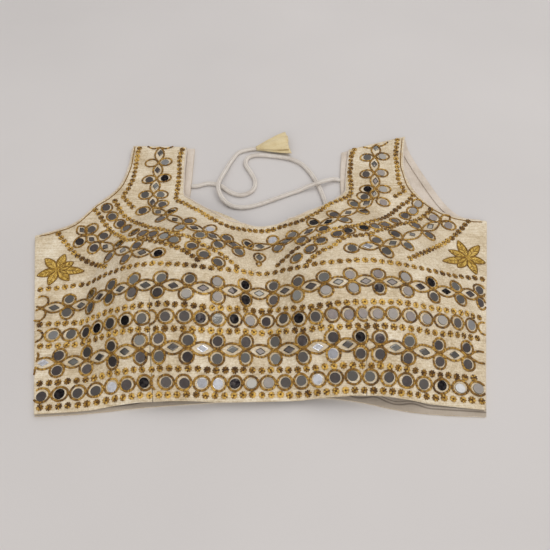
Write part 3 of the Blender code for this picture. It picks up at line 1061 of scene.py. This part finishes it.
def model_mirror():
    """A thin round mirror with ground edges."""
    deselect_all()
    bpy.ops.mesh.primitive_cylinder_add(vertices=28, radius=MIRROR_RADIUS, depth=MIRROR_THICK)
    return take_shape(bevelled(bpy.context.object, GROUND_EDGE))


def model_diamond():
    """A thin mirror cut as a diamond, with its corners slightly rounded."""
    deselect_all()
    bpy.ops.mesh.primitive_cylinder_add(vertices=4, radius=1.0, depth=MIRROR_THICK)
    piece = bpy.context.object
    piece.scale = (DIAMOND_HALF[0], DIAMOND_HALF[1], 1.0)
    bpy.ops.object.transform_apply(scale=True)
    bpy.ops.object.mode_set(mode="EDIT")
    bpy.ops.mesh.select_mode(type="EDGE")
    bpy.ops.mesh.select_all(action="DESELECT")
    mesh = bmesh.from_edit_mesh(piece.data)
    for edge in mesh.edges:
        edge.select = abs((edge.verts[0].co - edge.verts[1].co).z) > MIRROR_THICK / 2
    mesh.select_flush(True)
    bmesh.update_edit_mesh(piece.data)
    bpy.ops.mesh.bevel(offset=0.9 * MM, segments=3, affect="EDGES")
    bpy.ops.object.mode_set(mode="OBJECT")
    return take_shape(bevelled(piece, GROUND_EDGE))


class Sewn:
    """Gathers copies of one small shape, and joins them as one piece."""

    def __init__(self, shape):
        self.points, self.faces = shape
        self.turns = []
        self.tones = []

    def add(self, place, along, side, normal, size, tone=None):
        turn = np.zeros((3, 4))
        turn[:, 0] = along * size[0]
        turn[:, 1] = side * size[1]
        turn[:, 2] = normal * size[2]
        turn[:, 3] = place
        self.turns.append(turn)
        self.tones.append(CHANCE.random() if tone is None else tone)

    def join(self, name, material, slot, sharp=False):
        turns = np.array(self.turns)
        spread = np.hstack([self.points, np.ones((len(self.points), 1))])
        placed = np.einsum("nij,mj->nmi", turns, spread)
        each = len(self.points)
        corners = np.concatenate([np.array(face) for face in self.faces])
        sizes = np.array([len(face) for face in self.faces])
        copies = len(turns)
        loops = (corners[None, :] + each * np.arange(copies)[:, None]).ravel()
        totals = np.tile(sizes, copies)
        data = bpy.data.meshes.new(name)
        data.vertices.add(each * copies)
        data.vertices.foreach_set("co", placed.ravel())
        data.loops.add(len(loops))
        data.loops.foreach_set("vertex_index", loops)
        data.polygons.add(len(totals))
        starts = np.concatenate(([0], np.cumsum(totals)[:-1]))
        data.polygons.foreach_set("loop_start", starts)
        data.update(calc_edges=True)
        data.shade_smooth()
        if sharp:
            data.set_sharp_from_angle(angle=math.radians(12))
        tone = data.attributes.new("tone", "FLOAT", "POINT")
        tone.data.foreach_set("value", np.repeat(np.array(self.tones), each))
        data.validate()
        piece = add_piece(name, data, material)
        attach(piece, "root")
        return piece


# Embroidery


def stitch_at(threads, band, along, aside, step_along, step_aside, size, slant=0.0, tone=None):
    """One grain of thread on the band, pointing along the given step."""
    spot = band.spot(along, aside)
    if spot is None:
        return
    place, way, side, normal = spot
    turn = math.atan2(step_aside, step_along) + slant
    forward = way * math.cos(turn) + side * math.sin(turn)
    left = normal.cross(forward)
    lift = normal * (size[2] * 0.30 * MM)
    threads.add(place + lift, forward, left, normal, [length * MM for length in size], tone)


def sew_ring(threads, band, centre, radii):
    """A ring of slanted stitches round a place on the band."""
    along, aside = centre
    count = round(math.pi * (radii[0] + radii[1]) / STITCH)
    drift = CHANCE.uniform(0, 6.28)
    shade = CHANCE.uniform(0.38, 0.62)
    for number in range(count):
        angle = math.tau * (number + 0.5) / count
        # Each stitch's tone, between painted shade and painted glint, drifts round the ring and from
        # stitch to stitch.
        tone = shade + 0.16 * math.sin(angle + 2 * drift) + CHANCE.uniform(-0.30, 0.30)
        wobble = 0.22 * math.sin(2 * angle + drift) + CHANCE.uniform(-0.10, 0.10)
        stitch_at(
            threads,
            band,
            along + (radii[0] + wobble) * math.cos(angle),
            aside + (radii[1] + wobble) * math.sin(angle),
            -radii[0] * math.sin(angle),
            radii[1] * math.cos(angle),
            RING_GRAIN,
            0.5,
            tone,
        )


def sew_leaf(threads, band, centre, half):
    """Two arcs that meet in points: a leaf lying along the band."""
    along, aside = centre
    length, height = half
    count = max(round(2.2 * length / STITCH), 4)
    for up in (1, -1):
        shade = CHANCE.uniform(0.38, 0.62)
        for number in range(count):
            share = -1 + 2 * (number + 0.5) / count
            spot = (along + share * length, aside + up * height * (1 - share**2))
            tone = shade + CHANCE.uniform(-0.32, 0.32)
            slope = -2 * up * share * height
            stitch_at(threads, band, *spot, length, slope, RING_GRAIN, 0.5 * up, tone)


def sew_knot(threads, band, along):
    """A few crossed stitches where two rings meet."""
    for turn in (0.8, -0.8, 1.57):
        tone = CHANCE.uniform(0.3, 0.6)
        stitch_at(threads, band, along, 0.0, math.cos(turn), math.sin(turn), KNOT_GRAIN, 0.1, tone)


def scaled(size, scale):
    return tuple(length * scale for length in size)


def sew_dot(threads, band, along, aside, scale, tone):
    """A small rosette of radial stitches round a sunken knot."""
    turn = CHANCE.uniform(0, 0.7)
    for number in range(DOT_STITCHES):
        angle = turn + math.tau * number / DOT_STITCHES
        reach = DOT_REACH * scale
        stitch_at(
            threads,
            band,
            along + reach * math.cos(angle),
            aside + reach * math.sin(angle),
            math.cos(angle),
            math.sin(angle),
            scaled(DOT_GRAIN, scale),
            CHANCE.uniform(-0.15, 0.15),
            min(max(tone + CHANCE.uniform(-0.42, 0.42), 0.0), 1.0),
        )
    stitch_at(threads, band, along, aside, 1, 0, scaled(DOT_MIDDLE, scale), 0.0, 0.05)


def sew_dots(threads, band, first, pitch):
    """Rosettes along a band. Their tone drifts from bright gold to brown and back, as stretches of
    painted glint and painted shade.
    """
    along = first
    seed = CHANCE.uniform(0, 90)
    while along < band.length - 1.5:
        # Stretches of painted shade (brown) and painted glint (bright gold) along the line.
        tone = 0.50 + 0.62 * noise.noise(Vector((along / 42, seed, 0)))
        sew_dot(
            threads,
            band,
            along + CHANCE.uniform(-0.3, 0.3),
            CHANCE.uniform(-0.3, 0.3),
            CHANCE.uniform(0.94, 1.06),
            tone,
        )
        along += pitch


def set_mirror(mirrors, band, along, aside, scale=(1.0, 1.0), turn=None):
    """Lays a mirror flat on the cloth, slightly off its place and slightly tilted."""
    spot = band.spot(along + CHANCE.uniform(-0.9, 0.9), aside + CHANCE.uniform(-0.8, 0.8))
    if spot is None:
        return
    place, way, side, normal = spot
    angle = CHANCE.uniform(0, 6.28) if turn is None else turn + CHANCE.uniform(-0.12, 0.12)
    tilt = way * CHANCE.gauss(0, 0.035) + side * CHANCE.gauss(0, 0.035)
    up = (normal + tilt).normalized()
    forward = way * math.cos(angle) + side * math.sin(angle)
    left = up.cross(forward).normalized()
    forward = left.cross(up)
    size = (scale[0] * CHANCE.uniform(0.95, 1.05), scale[1] * CHANCE.uniform(0.95, 1.05), 1.0)
    mirrors.add(place + up * MIRROR_LIFT, forward, left, up, size)


def parted(band, name):
    """The groups of a row's motifs, each with the stretch of cloth that it may cover."""
    groups = PLACES[name]
    edges = [0.0, *(band.crossing(dart) for dart in DARTS[: len(groups) - 1]), band.length]
    return list(zip(groups, zip(edges, edges[1:])))


def sew_single_row(work, band, name):
    """Rings side by side, with a round mirror in each."""
    for places, keep in parted(band, name):
        band.keep = keep
        for index, along in enumerate(places):
            near = places[max(index - 1, 0) : index + 2]
            pitch = (near[-1] - near[0]) / (len(near) - 1)
            half = min(max(pitch * 0.44, 6.9), 8.2)
            sew_ring(work.rings, band, (along, CHANCE.uniform(-0.3, 0.3)), (half, SINGLE_RING[1]))
            if index:
                sew_knot(work.rings, band, (places[index - 1] + along) / 2)
            if band.holds(along) and (name, along) not in BARE:
                set_mirror(work.round_mirrors, band, along, 0.0)
    band.keep = (0.0, band.length)


def sew_pair(work, band, along, bare):
    """A ring on each side of the band, each with its mirror."""
    for aside in (PAIR_OFFSET, -PAIR_OFFSET):
        sew_ring(work.rings, band, (along, aside), PAIR_RING)
        if band.holds(along) and not bare:
            set_mirror(work.round_mirrors, band, along, aside)
    sew_knot(work.rings, band, along)


def sew_diamond(work, band, along, half_length):
    """A leaf of thread with a diamond mirror in it."""
    sew_leaf(work.rings, band, (along, 0.0), (half_length, LEAF_HEIGHT))
    if band.holds(along) and half_length > 6.5:
        wide = min(half_length / 11.5, 1.0)
        set_mirror(work.diamonds, band, along, 0.0, (wide, 1.0), 0.0)


def sew_double_row(work, band, name):
    """Pairs of rings with a leaf between each pair and the next."""
    for places, keep in parted(band, name):
        band.keep = keep
        for index, along in enumerate(places):
            sew_pair(work, band, along, (name, along) in BARE)
            if index:
                half = (along - places[index - 1]) / 2
                sew_diamond(work, band, along - half, half - 2.15)
        for edge, along, way in ((keep[0], places[0], -1), (keep[1], places[-1], 1)):
            if abs(edge - along) > 5:
                sew_leaf(work.rings, band, (along + way * 14.2, 0.0), (12.0, LEAF_HEIGHT))
    band.keep = (0.0, band.length)


def middle_of(pair):
    return tuple((first + second) / 2 for first, second in zip(*pair))


def sew_petals(work, cloth, pair, bare=False):
    """Two rings side by side across a band, each with its mirror."""
    cross = plan_band(cloth, (pair[0], middle_of(pair), pair[1]), 0.001, beyond=9.0)
    spots = [cross.nearest_along(*place) for place in pair]
    half = min(max((spots[1] - spots[0]) / 2 - 0.7, 6.2), 8.6)
    for number, along in enumerate(spots):
        sew_ring(work.rings, cross, (along, 0.0), (half, 6.5))
        if not (bare and number == 0):
            set_mirror(work.round_mirrors, cross, along, 0.0, (1.02, 0.98))
    sew_knot(work.rings, cross, sum(spots) / 2)


def sew_leaf_between(work, cloth, start, middle, end, bare=False):
    """A leaf of thread from one plan point to another, with its diamond mirror at the middle."""
    band = plan_band(cloth, (start, middle, end), 0.001)
    half = band.length / 2
    sew_leaf(work.rings, band, (half, 0.0), (half - 1.2, min(LEAF_HEIGHT * 0.95, half * 0.62)))
    if bare:
        return
    wide = min(half / 12.5, 1.0)
    size = (wide, min(wide + 0.1, 1.0))
    set_mirror(work.diamonds, band, band.nearest_along(*middle), 0.0, size, 0.0)


def sew_band(work, cloth, name):
    """A band of pairs and leaves in turn, from its outer end."""
    pairs = PAIRS[name]
    leaves = LEAVES[name]
    crossings = [FAR_ENDS[name], *(middle_of(pair) for pair in pairs)]
    for number, pair in enumerate(pairs):
        sew_petals(work, cloth, pair, name == "neck_left" and number == 0)
    for number, (start, leaf, end) in enumerate(zip(crossings, leaves, crossings[1:])):
        sew_leaf_between(work, cloth, start, leaf, end, name == "side_right" and number == 0)
    if name not in END_RINGS:
        return
    far = END_RINGS[name]
    way = (Vector(far) - Vector(leaves[-1])).normalized()
    near = tuple(Vector(far) - way * 7.0)
    sew_leaf_between(work, cloth, crossings[-1], leaves[-1], near)
    ring = plan_band(cloth, (near, far, tuple(Vector(far) + way * 8.0)), 0.001)
    sew_ring(work.rings, ring, (7.2, 0.0), END_RING)
    set_mirror(work.round_mirrors, ring, 7.2, 0.0)


def sew_line(threads, band):
    """One thread along a band."""
    along = 0.7
    while along < band.length:
        stitch_at(threads, band, along, 0.0, 1, 0, RING_GRAIN, 0.5)
        along += STITCH


def sew_edge(threads, band, aside):
    """The fine thread along an armhole."""
    along = 0.8
    while along < band.length:
        tone = CHANCE.uniform(0.25, 0.6)
        stitch_at(threads, band, along, aside, 1, 0, EDGE_GRAIN, 0.3, tone)
        along += 1.5


def sew_v_line(work, cloth, side):
    """The line of single rings that comes down from an armhole to the middle."""
    edge = plan_band(cloth, V_MIRRORS[side], beyond=9.0)
    for x, y in V_MIRRORS[side]:
        along = edge.nearest_along(x, y)
        sew_ring(work.rings, edge, (along, 0.0), V_RING)
        set_mirror(work.round_mirrors, edge, along, 0.0, (1.04, 0.92), 0.0)


def sew_pendant(work, cloth):
    """The drop below the middle of the neck, under its leaf."""
    sew_leaf_between(work, cloth, *PENDANT_LEAF)
    drop = plan_band(cloth, PENDANT)
    sew_ring(work.rings, drop, (24.0, 0.0), PENDANT_RING)
    set_mirror(work.diamonds, drop, 24.0, 0.0, (0.95, 1.1), 0.0)
    sew_leaf(work.rings, drop, (35.0, 0.0), (3.8, 2.6))


def petal_width(share):
    """Half width of a petal at this share of its length."""
    return PETAL_HALF_WIDTH * math.sin(math.pi * share**0.85) ** 0.75


def sew_petal(threads, cloth, start, end):
    """One petal: an outline of dark stitches, filled with bright slanted ones."""
    band = plan_band(cloth, (start, middle_of((start, end)), end), 0.001)
    rows = round(band.length / 0.85)
    for number in range(rows):
        share = (number + 0.5) / rows
        half = petal_width(share)
        for up in (1, -1):
            size = (half * 1.15 + 0.5, 1.05, 1.1)
            tone = CHANCE.uniform(0.15, 1.0)
            stitch_at(threads, band, share * band.length, up * half * 0.46, 0.8, up, size, 0.0, tone)
    count = round(band.length / 1.2)
    for up in (1, -1):
        for number in range(count):
            share = (number + 0.5) / count
            half = petal_width(share)
            slope = up * (petal_width(min(share + 0.05, 1.0)) - half) / (0.05 * band.length)
            tone = CHANCE.uniform(0.0, 0.25)
            along = share * band.length
            stitch_at(threads, band, along, up * half, 1.0, slope, OUTLINE_GRAIN, 0.3 * up, tone)


def sew_flower(threads, cloth, side):
    """A flower: gold petals round a middle."""
    centre, tips = FLOWERS[side]
    for tip in tips:
        way = (Vector(tip) - Vector(centre)).normalized()
        sew_petal(threads, cloth, tuple(Vector(centre) + way * 2.0), tip)
    x, y = centre
    band = plan_band(cloth, ((x - 4, y), (x, y), (x + 4, y)), 0.001)
    sew_ring(threads, band, (4.0, 0.0), MIDDLE_RING)
    sew_dot(threads, band, 4.0, 0.0, 0.62, 0.7)


class Work:
    """All that is sewn on the front, gathered by kind."""

    def __init__(self, stitch, mirror, diamond):
        self.rings = Sewn(stitch)
        self.upper_rings = Sewn(stitch)
        self.dots = Sewn(stitch)
        self.upper_dots = Sewn(stitch)
        self.flowers = Sewn(stitch)
        self.round_mirrors = Sewn(mirror)
        self.diamonds = Sewn(diamond)


def embroider(cloth, finishes):
    """Sews all of the front's rows, bands, flowers and edge threads."""
    work = Work(model_stitch(), model_mirror(), model_diamond())
    columns = climb_columns(cloth)
    bands = {name: row_band(cloth, columns, name) for name in ROWS}
    for number in range(1, 6):
        sew_dots(work.dots, bands[f"dots_{number}"], *BODY_DOTS)
    for name in ("mirrors_low", "mirrors_middle"):
        sew_single_row(work, bands[name], name)
    for name in ("double_low", "double_high"):
        sew_double_row(work, bands[name], name)
    body_rings, work.rings = work.rings, work.upper_rings
    for table in DOT_LINES.values():
        sew_dots(work.upper_dots, plan_band(cloth, table), *UPPER_DOTS)
    for side in ("left", "right"):
        sew_band(work, cloth, f"neck_{side}")
        sew_band(work, cloth, f"side_{side}")
        sew_flower(work.flowers, cloth, side)
        sew_v_line(work, cloth, side)
        inward = -0.8 if side == "left" else 0.8
        sew_edge(work.upper_dots, plan_band(cloth, ARMHOLE_THREADS[side]), inward)
    for arc in CUT_ARCS:
        sew_line(work.rings, plan_band(cloth, arc, 0.001))
    sew_pendant(work, cloth)
    return [
        body_rings.join("body_ring_stitches", finishes["ring_thread"], "gold_thread"),
        work.rings.join("upper_ring_stitches", finishes["ring_thread"], "gold_thread"),
        work.dots.join("body_dot_stitches", finishes["dot_thread"], "gold_thread"),
        work.upper_dots.join("upper_dot_stitches", finishes["dot_thread"], "gold_thread"),
        work.flowers.join("corner_flowers", finishes["flower_thread"], "gold_thread"),
        work.round_mirrors.join("round_mirrors", finishes["mirror"], "sewn_mirror", True),
        work.diamonds.join("diamond_mirrors", finishes["mirror"], "sewn_mirror", True),
    ]


def build_roll(cloth, name, material):
    """The lining, which shows as a thin roll along a cut edge of the front."""
    table, outward = ROLLS[name]
    band = plan_band(cloth, table)
    spots = []
    along = 0.5
    while along < band.length:
        place, _, side, _ = band.spot(along, outward)
        place = place + side * math.copysign(0.6 * MM, outward)
        if not spots or (place - spots[-1]).length > 1.1 * MM:
            spots.append(place)
        along += 1.5
    line = [(start + middle * 2 + end) / 4 for start, middle, end in zip(spots, spots[1:], spots[2:])]
    mesh = bmesh.new()
    rings = []
    for point, left, up in sections(line):
        radius = ROLL_RADIUS * (0.9 + 0.25 * noise.noise(point / 0.007))
        ring = []
        for number in range(ROLL_SIDES):
            angle = math.tau * number / ROLL_SIDES
            out = left * math.cos(angle) + up * (0.85 * math.sin(angle))
            ring.append(mesh.verts.new(point + out * radius))
        rings.append(ring)
    skin(mesh, rings)
    mesh.faces.new(rings[-1])
    bmesh.ops.recalc_face_normals(mesh, faces=mesh.faces)
    piece = from_bmesh(name, mesh, material)
    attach(piece, "root")
    return piece


# Ties and tassels


def tie_line(side):
    line = evenly(TIES[side], TIE_STEP)
    for point in line:
        point.z = max(point.z, TIE_FLAT)
    return line


def build_tie(side, material):
    """A sewn cord with small crosswise wrinkles along its line."""
    line = tie_line(side)
    mesh = bmesh.new()
    uv = mesh.loops.layers.uv.new("along")
    rings = []
    for index, (point, left, up) in enumerate(sections(line)):
        ring = []
        for number in range(TIE_SIDES):
            angle = math.tau * number / TIE_SIDES
            level = 1.6 * math.sin(angle) + len(side)
            wrinkle = noise.noise(Vector((index * 0.9, 1.6 * math.cos(angle), level)))
            radius = TIE_DIAMETER / 2 * (0.975 - 0.05 * max(wrinkle, -0.5))
            out = left * math.cos(angle) * TIE_SPREAD + up * math.sin(angle)
            ring.append(mesh.verts.new(point + out * radius))
        rings.append(ring)
    skin(mesh, rings, uv, TIE_STEP)
    mesh.faces.new(rings[-1])
    bmesh.ops.recalc_face_normals(mesh, faces=mesh.faces)
    piece = from_bmesh(f"tie_cord_{side}", mesh, material)
    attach(piece, "root")
    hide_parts(f"tie_{side}")
    return piece, line


def tassel_size(distance):
    """Half width and half height of the tassel at this distance from the tie."""
    for low, high in zip(TASSEL_RINGS, TASSEL_RINGS[1:]):
        if distance <= high[0]:
            share = (distance - low[0]) / (high[0] - low[0])
            return low[1] + (high[1] - low[1]) * share, low[2] + (high[2] - low[2]) * share
    return TASSEL_RINGS[-1][1:]


def tassel_point(share, angle, turn):
    """A point at this share of the tassel's length and this angle round it. It lies along X."""
    edge = 1.0 - 0.05 * (0.5 + 0.5 * math.sin(3 * angle + 1.0)) * share
    distance = TASSEL_RINGS[-1][0] * share * edge
    half_width, half_height = tassel_size(distance)
    fold = 0.5 + 0.5 * math.cos(TASSEL_PLEATS * angle + 2.2 * share + turn)
    drawn = 1.0 - 0.34 * fold**2 * share**0.8
    wide = half_width * drawn
    high = half_height * drawn
    sharp = math.copysign(abs(math.cos(angle)) ** 0.85, math.cos(angle))
    return distance, wide * sharp, half_height + high * math.sin(angle) * 0.97


def build_tassel(side, line, material):
    """A cone of pleated cloth, pressed flat, with its open end folded unevenly."""
    end = line[-1]
    way = (line[-1] - line[-2]).to_2d().normalized()
    mesh = bmesh.new()
    uv = mesh.loops.layers.uv.new("along")
    rings = []
    for row in range(TASSEL_ROWS + 1):
        ring = []
        for number in range(TASSEL_COLUMNS):
            angle = math.tau * number / TASSEL_COLUMNS
            ring.append(mesh.verts.new(tassel_point(row / TASSEL_ROWS, angle, 0.7 * len(side))))
        rings.append(ring)
    skin(mesh, rings, uv, 1 / TASSEL_ROWS)
    turn = Matrix.Rotation(math.atan2(way.y, way.x), 4, "Z")
    shift = Matrix.Translation((end.x, end.y, 0.0002))
    bmesh.ops.transform(mesh, matrix=shift @ turn, verts=mesh.verts)
    bmesh.ops.recalc_face_normals(mesh, faces=mesh.faces)
    piece = from_bmesh(f"tassel_cloth_{side}", mesh, material)
    wall = piece.modifiers.new("wall", "SOLIDIFY")
    wall.thickness = TASSEL_WALL
    wall.offset = -1.0
    apply_all(piece)
    piece.data.shade_smooth()
    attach(piece, "root")
    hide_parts(f"tassel_{side}")
    return piece


# The scene


def set_camera():
    data = bpy.data.cameras.new("photo_camera")
    data.sensor_width = 36.0
    data.lens = CAMERA_LENS
    data.clip_start = 0.01
    camera = bpy.data.objects.new("photo_camera", data)
    camera.location = CAMERA_PLACE
    camera.rotation_euler = (math.radians(CAMERA_TILT), 0, 0)
    bpy.context.scene.collection.objects.link(camera)
    bpy.context.scene.camera = camera


def area_light(name, place, size, power, colour):
    """A lamp that looks at the middle of the table."""
    data = bpy.data.lights.new(name, "AREA")
    data.shape = "RECTANGLE"
    data.size, data.size_y = size
    data.energy = power
    data.color = colour
    light = bpy.data.objects.new(name, data)
    light.location = place
    light.rotation_euler = (-Vector(place)).to_track_quat("-Z", "Y").to_euler()
    bpy.context.scene.collection.objects.link(light)


def set_light():
    """Even, slightly patchy air that the mirrors show, darker on the left, and two large lamps."""
    world = bpy.data.worlds.new("studio_air")
    bpy.context.scene.world = world
    air = Finish(world)
    way = air.node("ShaderNodeTexCoord", output="Generated")
    patches = air.grain(0.35, 1.0, 0.5, None, way)
    colour = air.ramp(
        patches, (0.32, (0.42, 0.41, 0.415)), (0.50, (0.56, 0.55, 0.55)), (0.70, (0.72, 0.71, 0.71))
    )
    left = air.across(way, 0).above(-0.94, -0.74)
    colour = air.mix(left, (0.21, 0.205, 0.205), colour)
    glow = air.node("ShaderNodeBackground", None, {"Color": colour, "Strength": 1.0})
    air.node("ShaderNodeOutputWorld", None, {"Surface": glow})
    for name, lamp in LAMPS.items():
        area_light(name, *lamp)
    bpy.context.scene.view_settings.view_transform = "Standard"


def lay_table():
    deselect_all()
    bpy.ops.mesh.primitive_plane_add(size=6.0, location=(0, 0, 0))
    top = bpy.context.object
    top.name = "table_top"
    top.data.materials.append(table_top())


def build_front(silk, lining):
    front = copy_of("front", "front_cloth", silk, lining)
    crease_edges(front, 60, 0.85)
    subdivide(front, 2)
    apply_all(front)
    pucker_cloth(front)
    for face in front.data.polygons:
        face.material_index = 1 if face.normal.z < -0.3 else 0
    front.data.shade_smooth()
    return front


def build_under(node, name, slot, *materials):
    """A flat piece of the back, with its cut edges softened."""
    piece = copy_of(node, name, *materials)
    soft = piece.modifiers.new("soft_edge", "BEVEL")
    soft.width = SOFT_EDGE
    soft.segments = 2
    soft.limit_method = "ANGLE"
    apply_all(piece)
    if len(materials) > 1:
        for face in piece.data.polygons:
            face.material_index = 1 if face.normal.z > 0.5 else 0
    piece.data.shade_smooth()
    piece.data.set_sharp_from_angle(angle=math.radians(35))
    return piece


def build_ties():
    """Both ties, each with its tassel."""
    cord = tie_cotton()
    tassel_cloth = tassel_silk()
    for side in ("left", "right"):
        tie, line = build_tie(side, cord)
        tassel = build_tassel(side, line, tassel_cloth)
        length = sum((end - start).length for start, end in zip(line, line[1:]))


def build_back(silk, lining):
    """The two halves of the back, with their facings and the strip with its hooks."""
    under = []
    for side in ("left", "right"):
        under.append(build_under(f"back_{side}", f"back_cloth_{side}", "silk", silk, lining))
        build_under(f"armhole_facing_{side}", f"armhole_strip_{side}", "lining", lining)
        build_under(f"neck_facing_{side}", f"neck_strip_{side}", "lining", lining)
    build_under("hook_placket", "hook_strip", "lining", lining)
    wire = hook_steel()
    for number in range(1, 5):
        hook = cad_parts[f"hook_{number}"]
        hook.data.materials.clear()
        hook.data.materials.append(wire)
    return under


def main():
    set_camera()
    lay_table()
    build_ties()
    set_light()
    silk = cream_silk()
    lining = cotton_lining()
    front = build_front(silk, lining)
    finishes = {name: gold_thread(name, *shades) for name, shades in THREADS.items()}
    finishes["mirror"] = sewn_mirror()
    cloth = Cloth(front)
    sewn_pieces = embroider(cloth, finishes)
    sewn_pieces += [build_roll(cloth, name, lining) for name in ROLLS]
    under = build_back(silk, lining)


main()
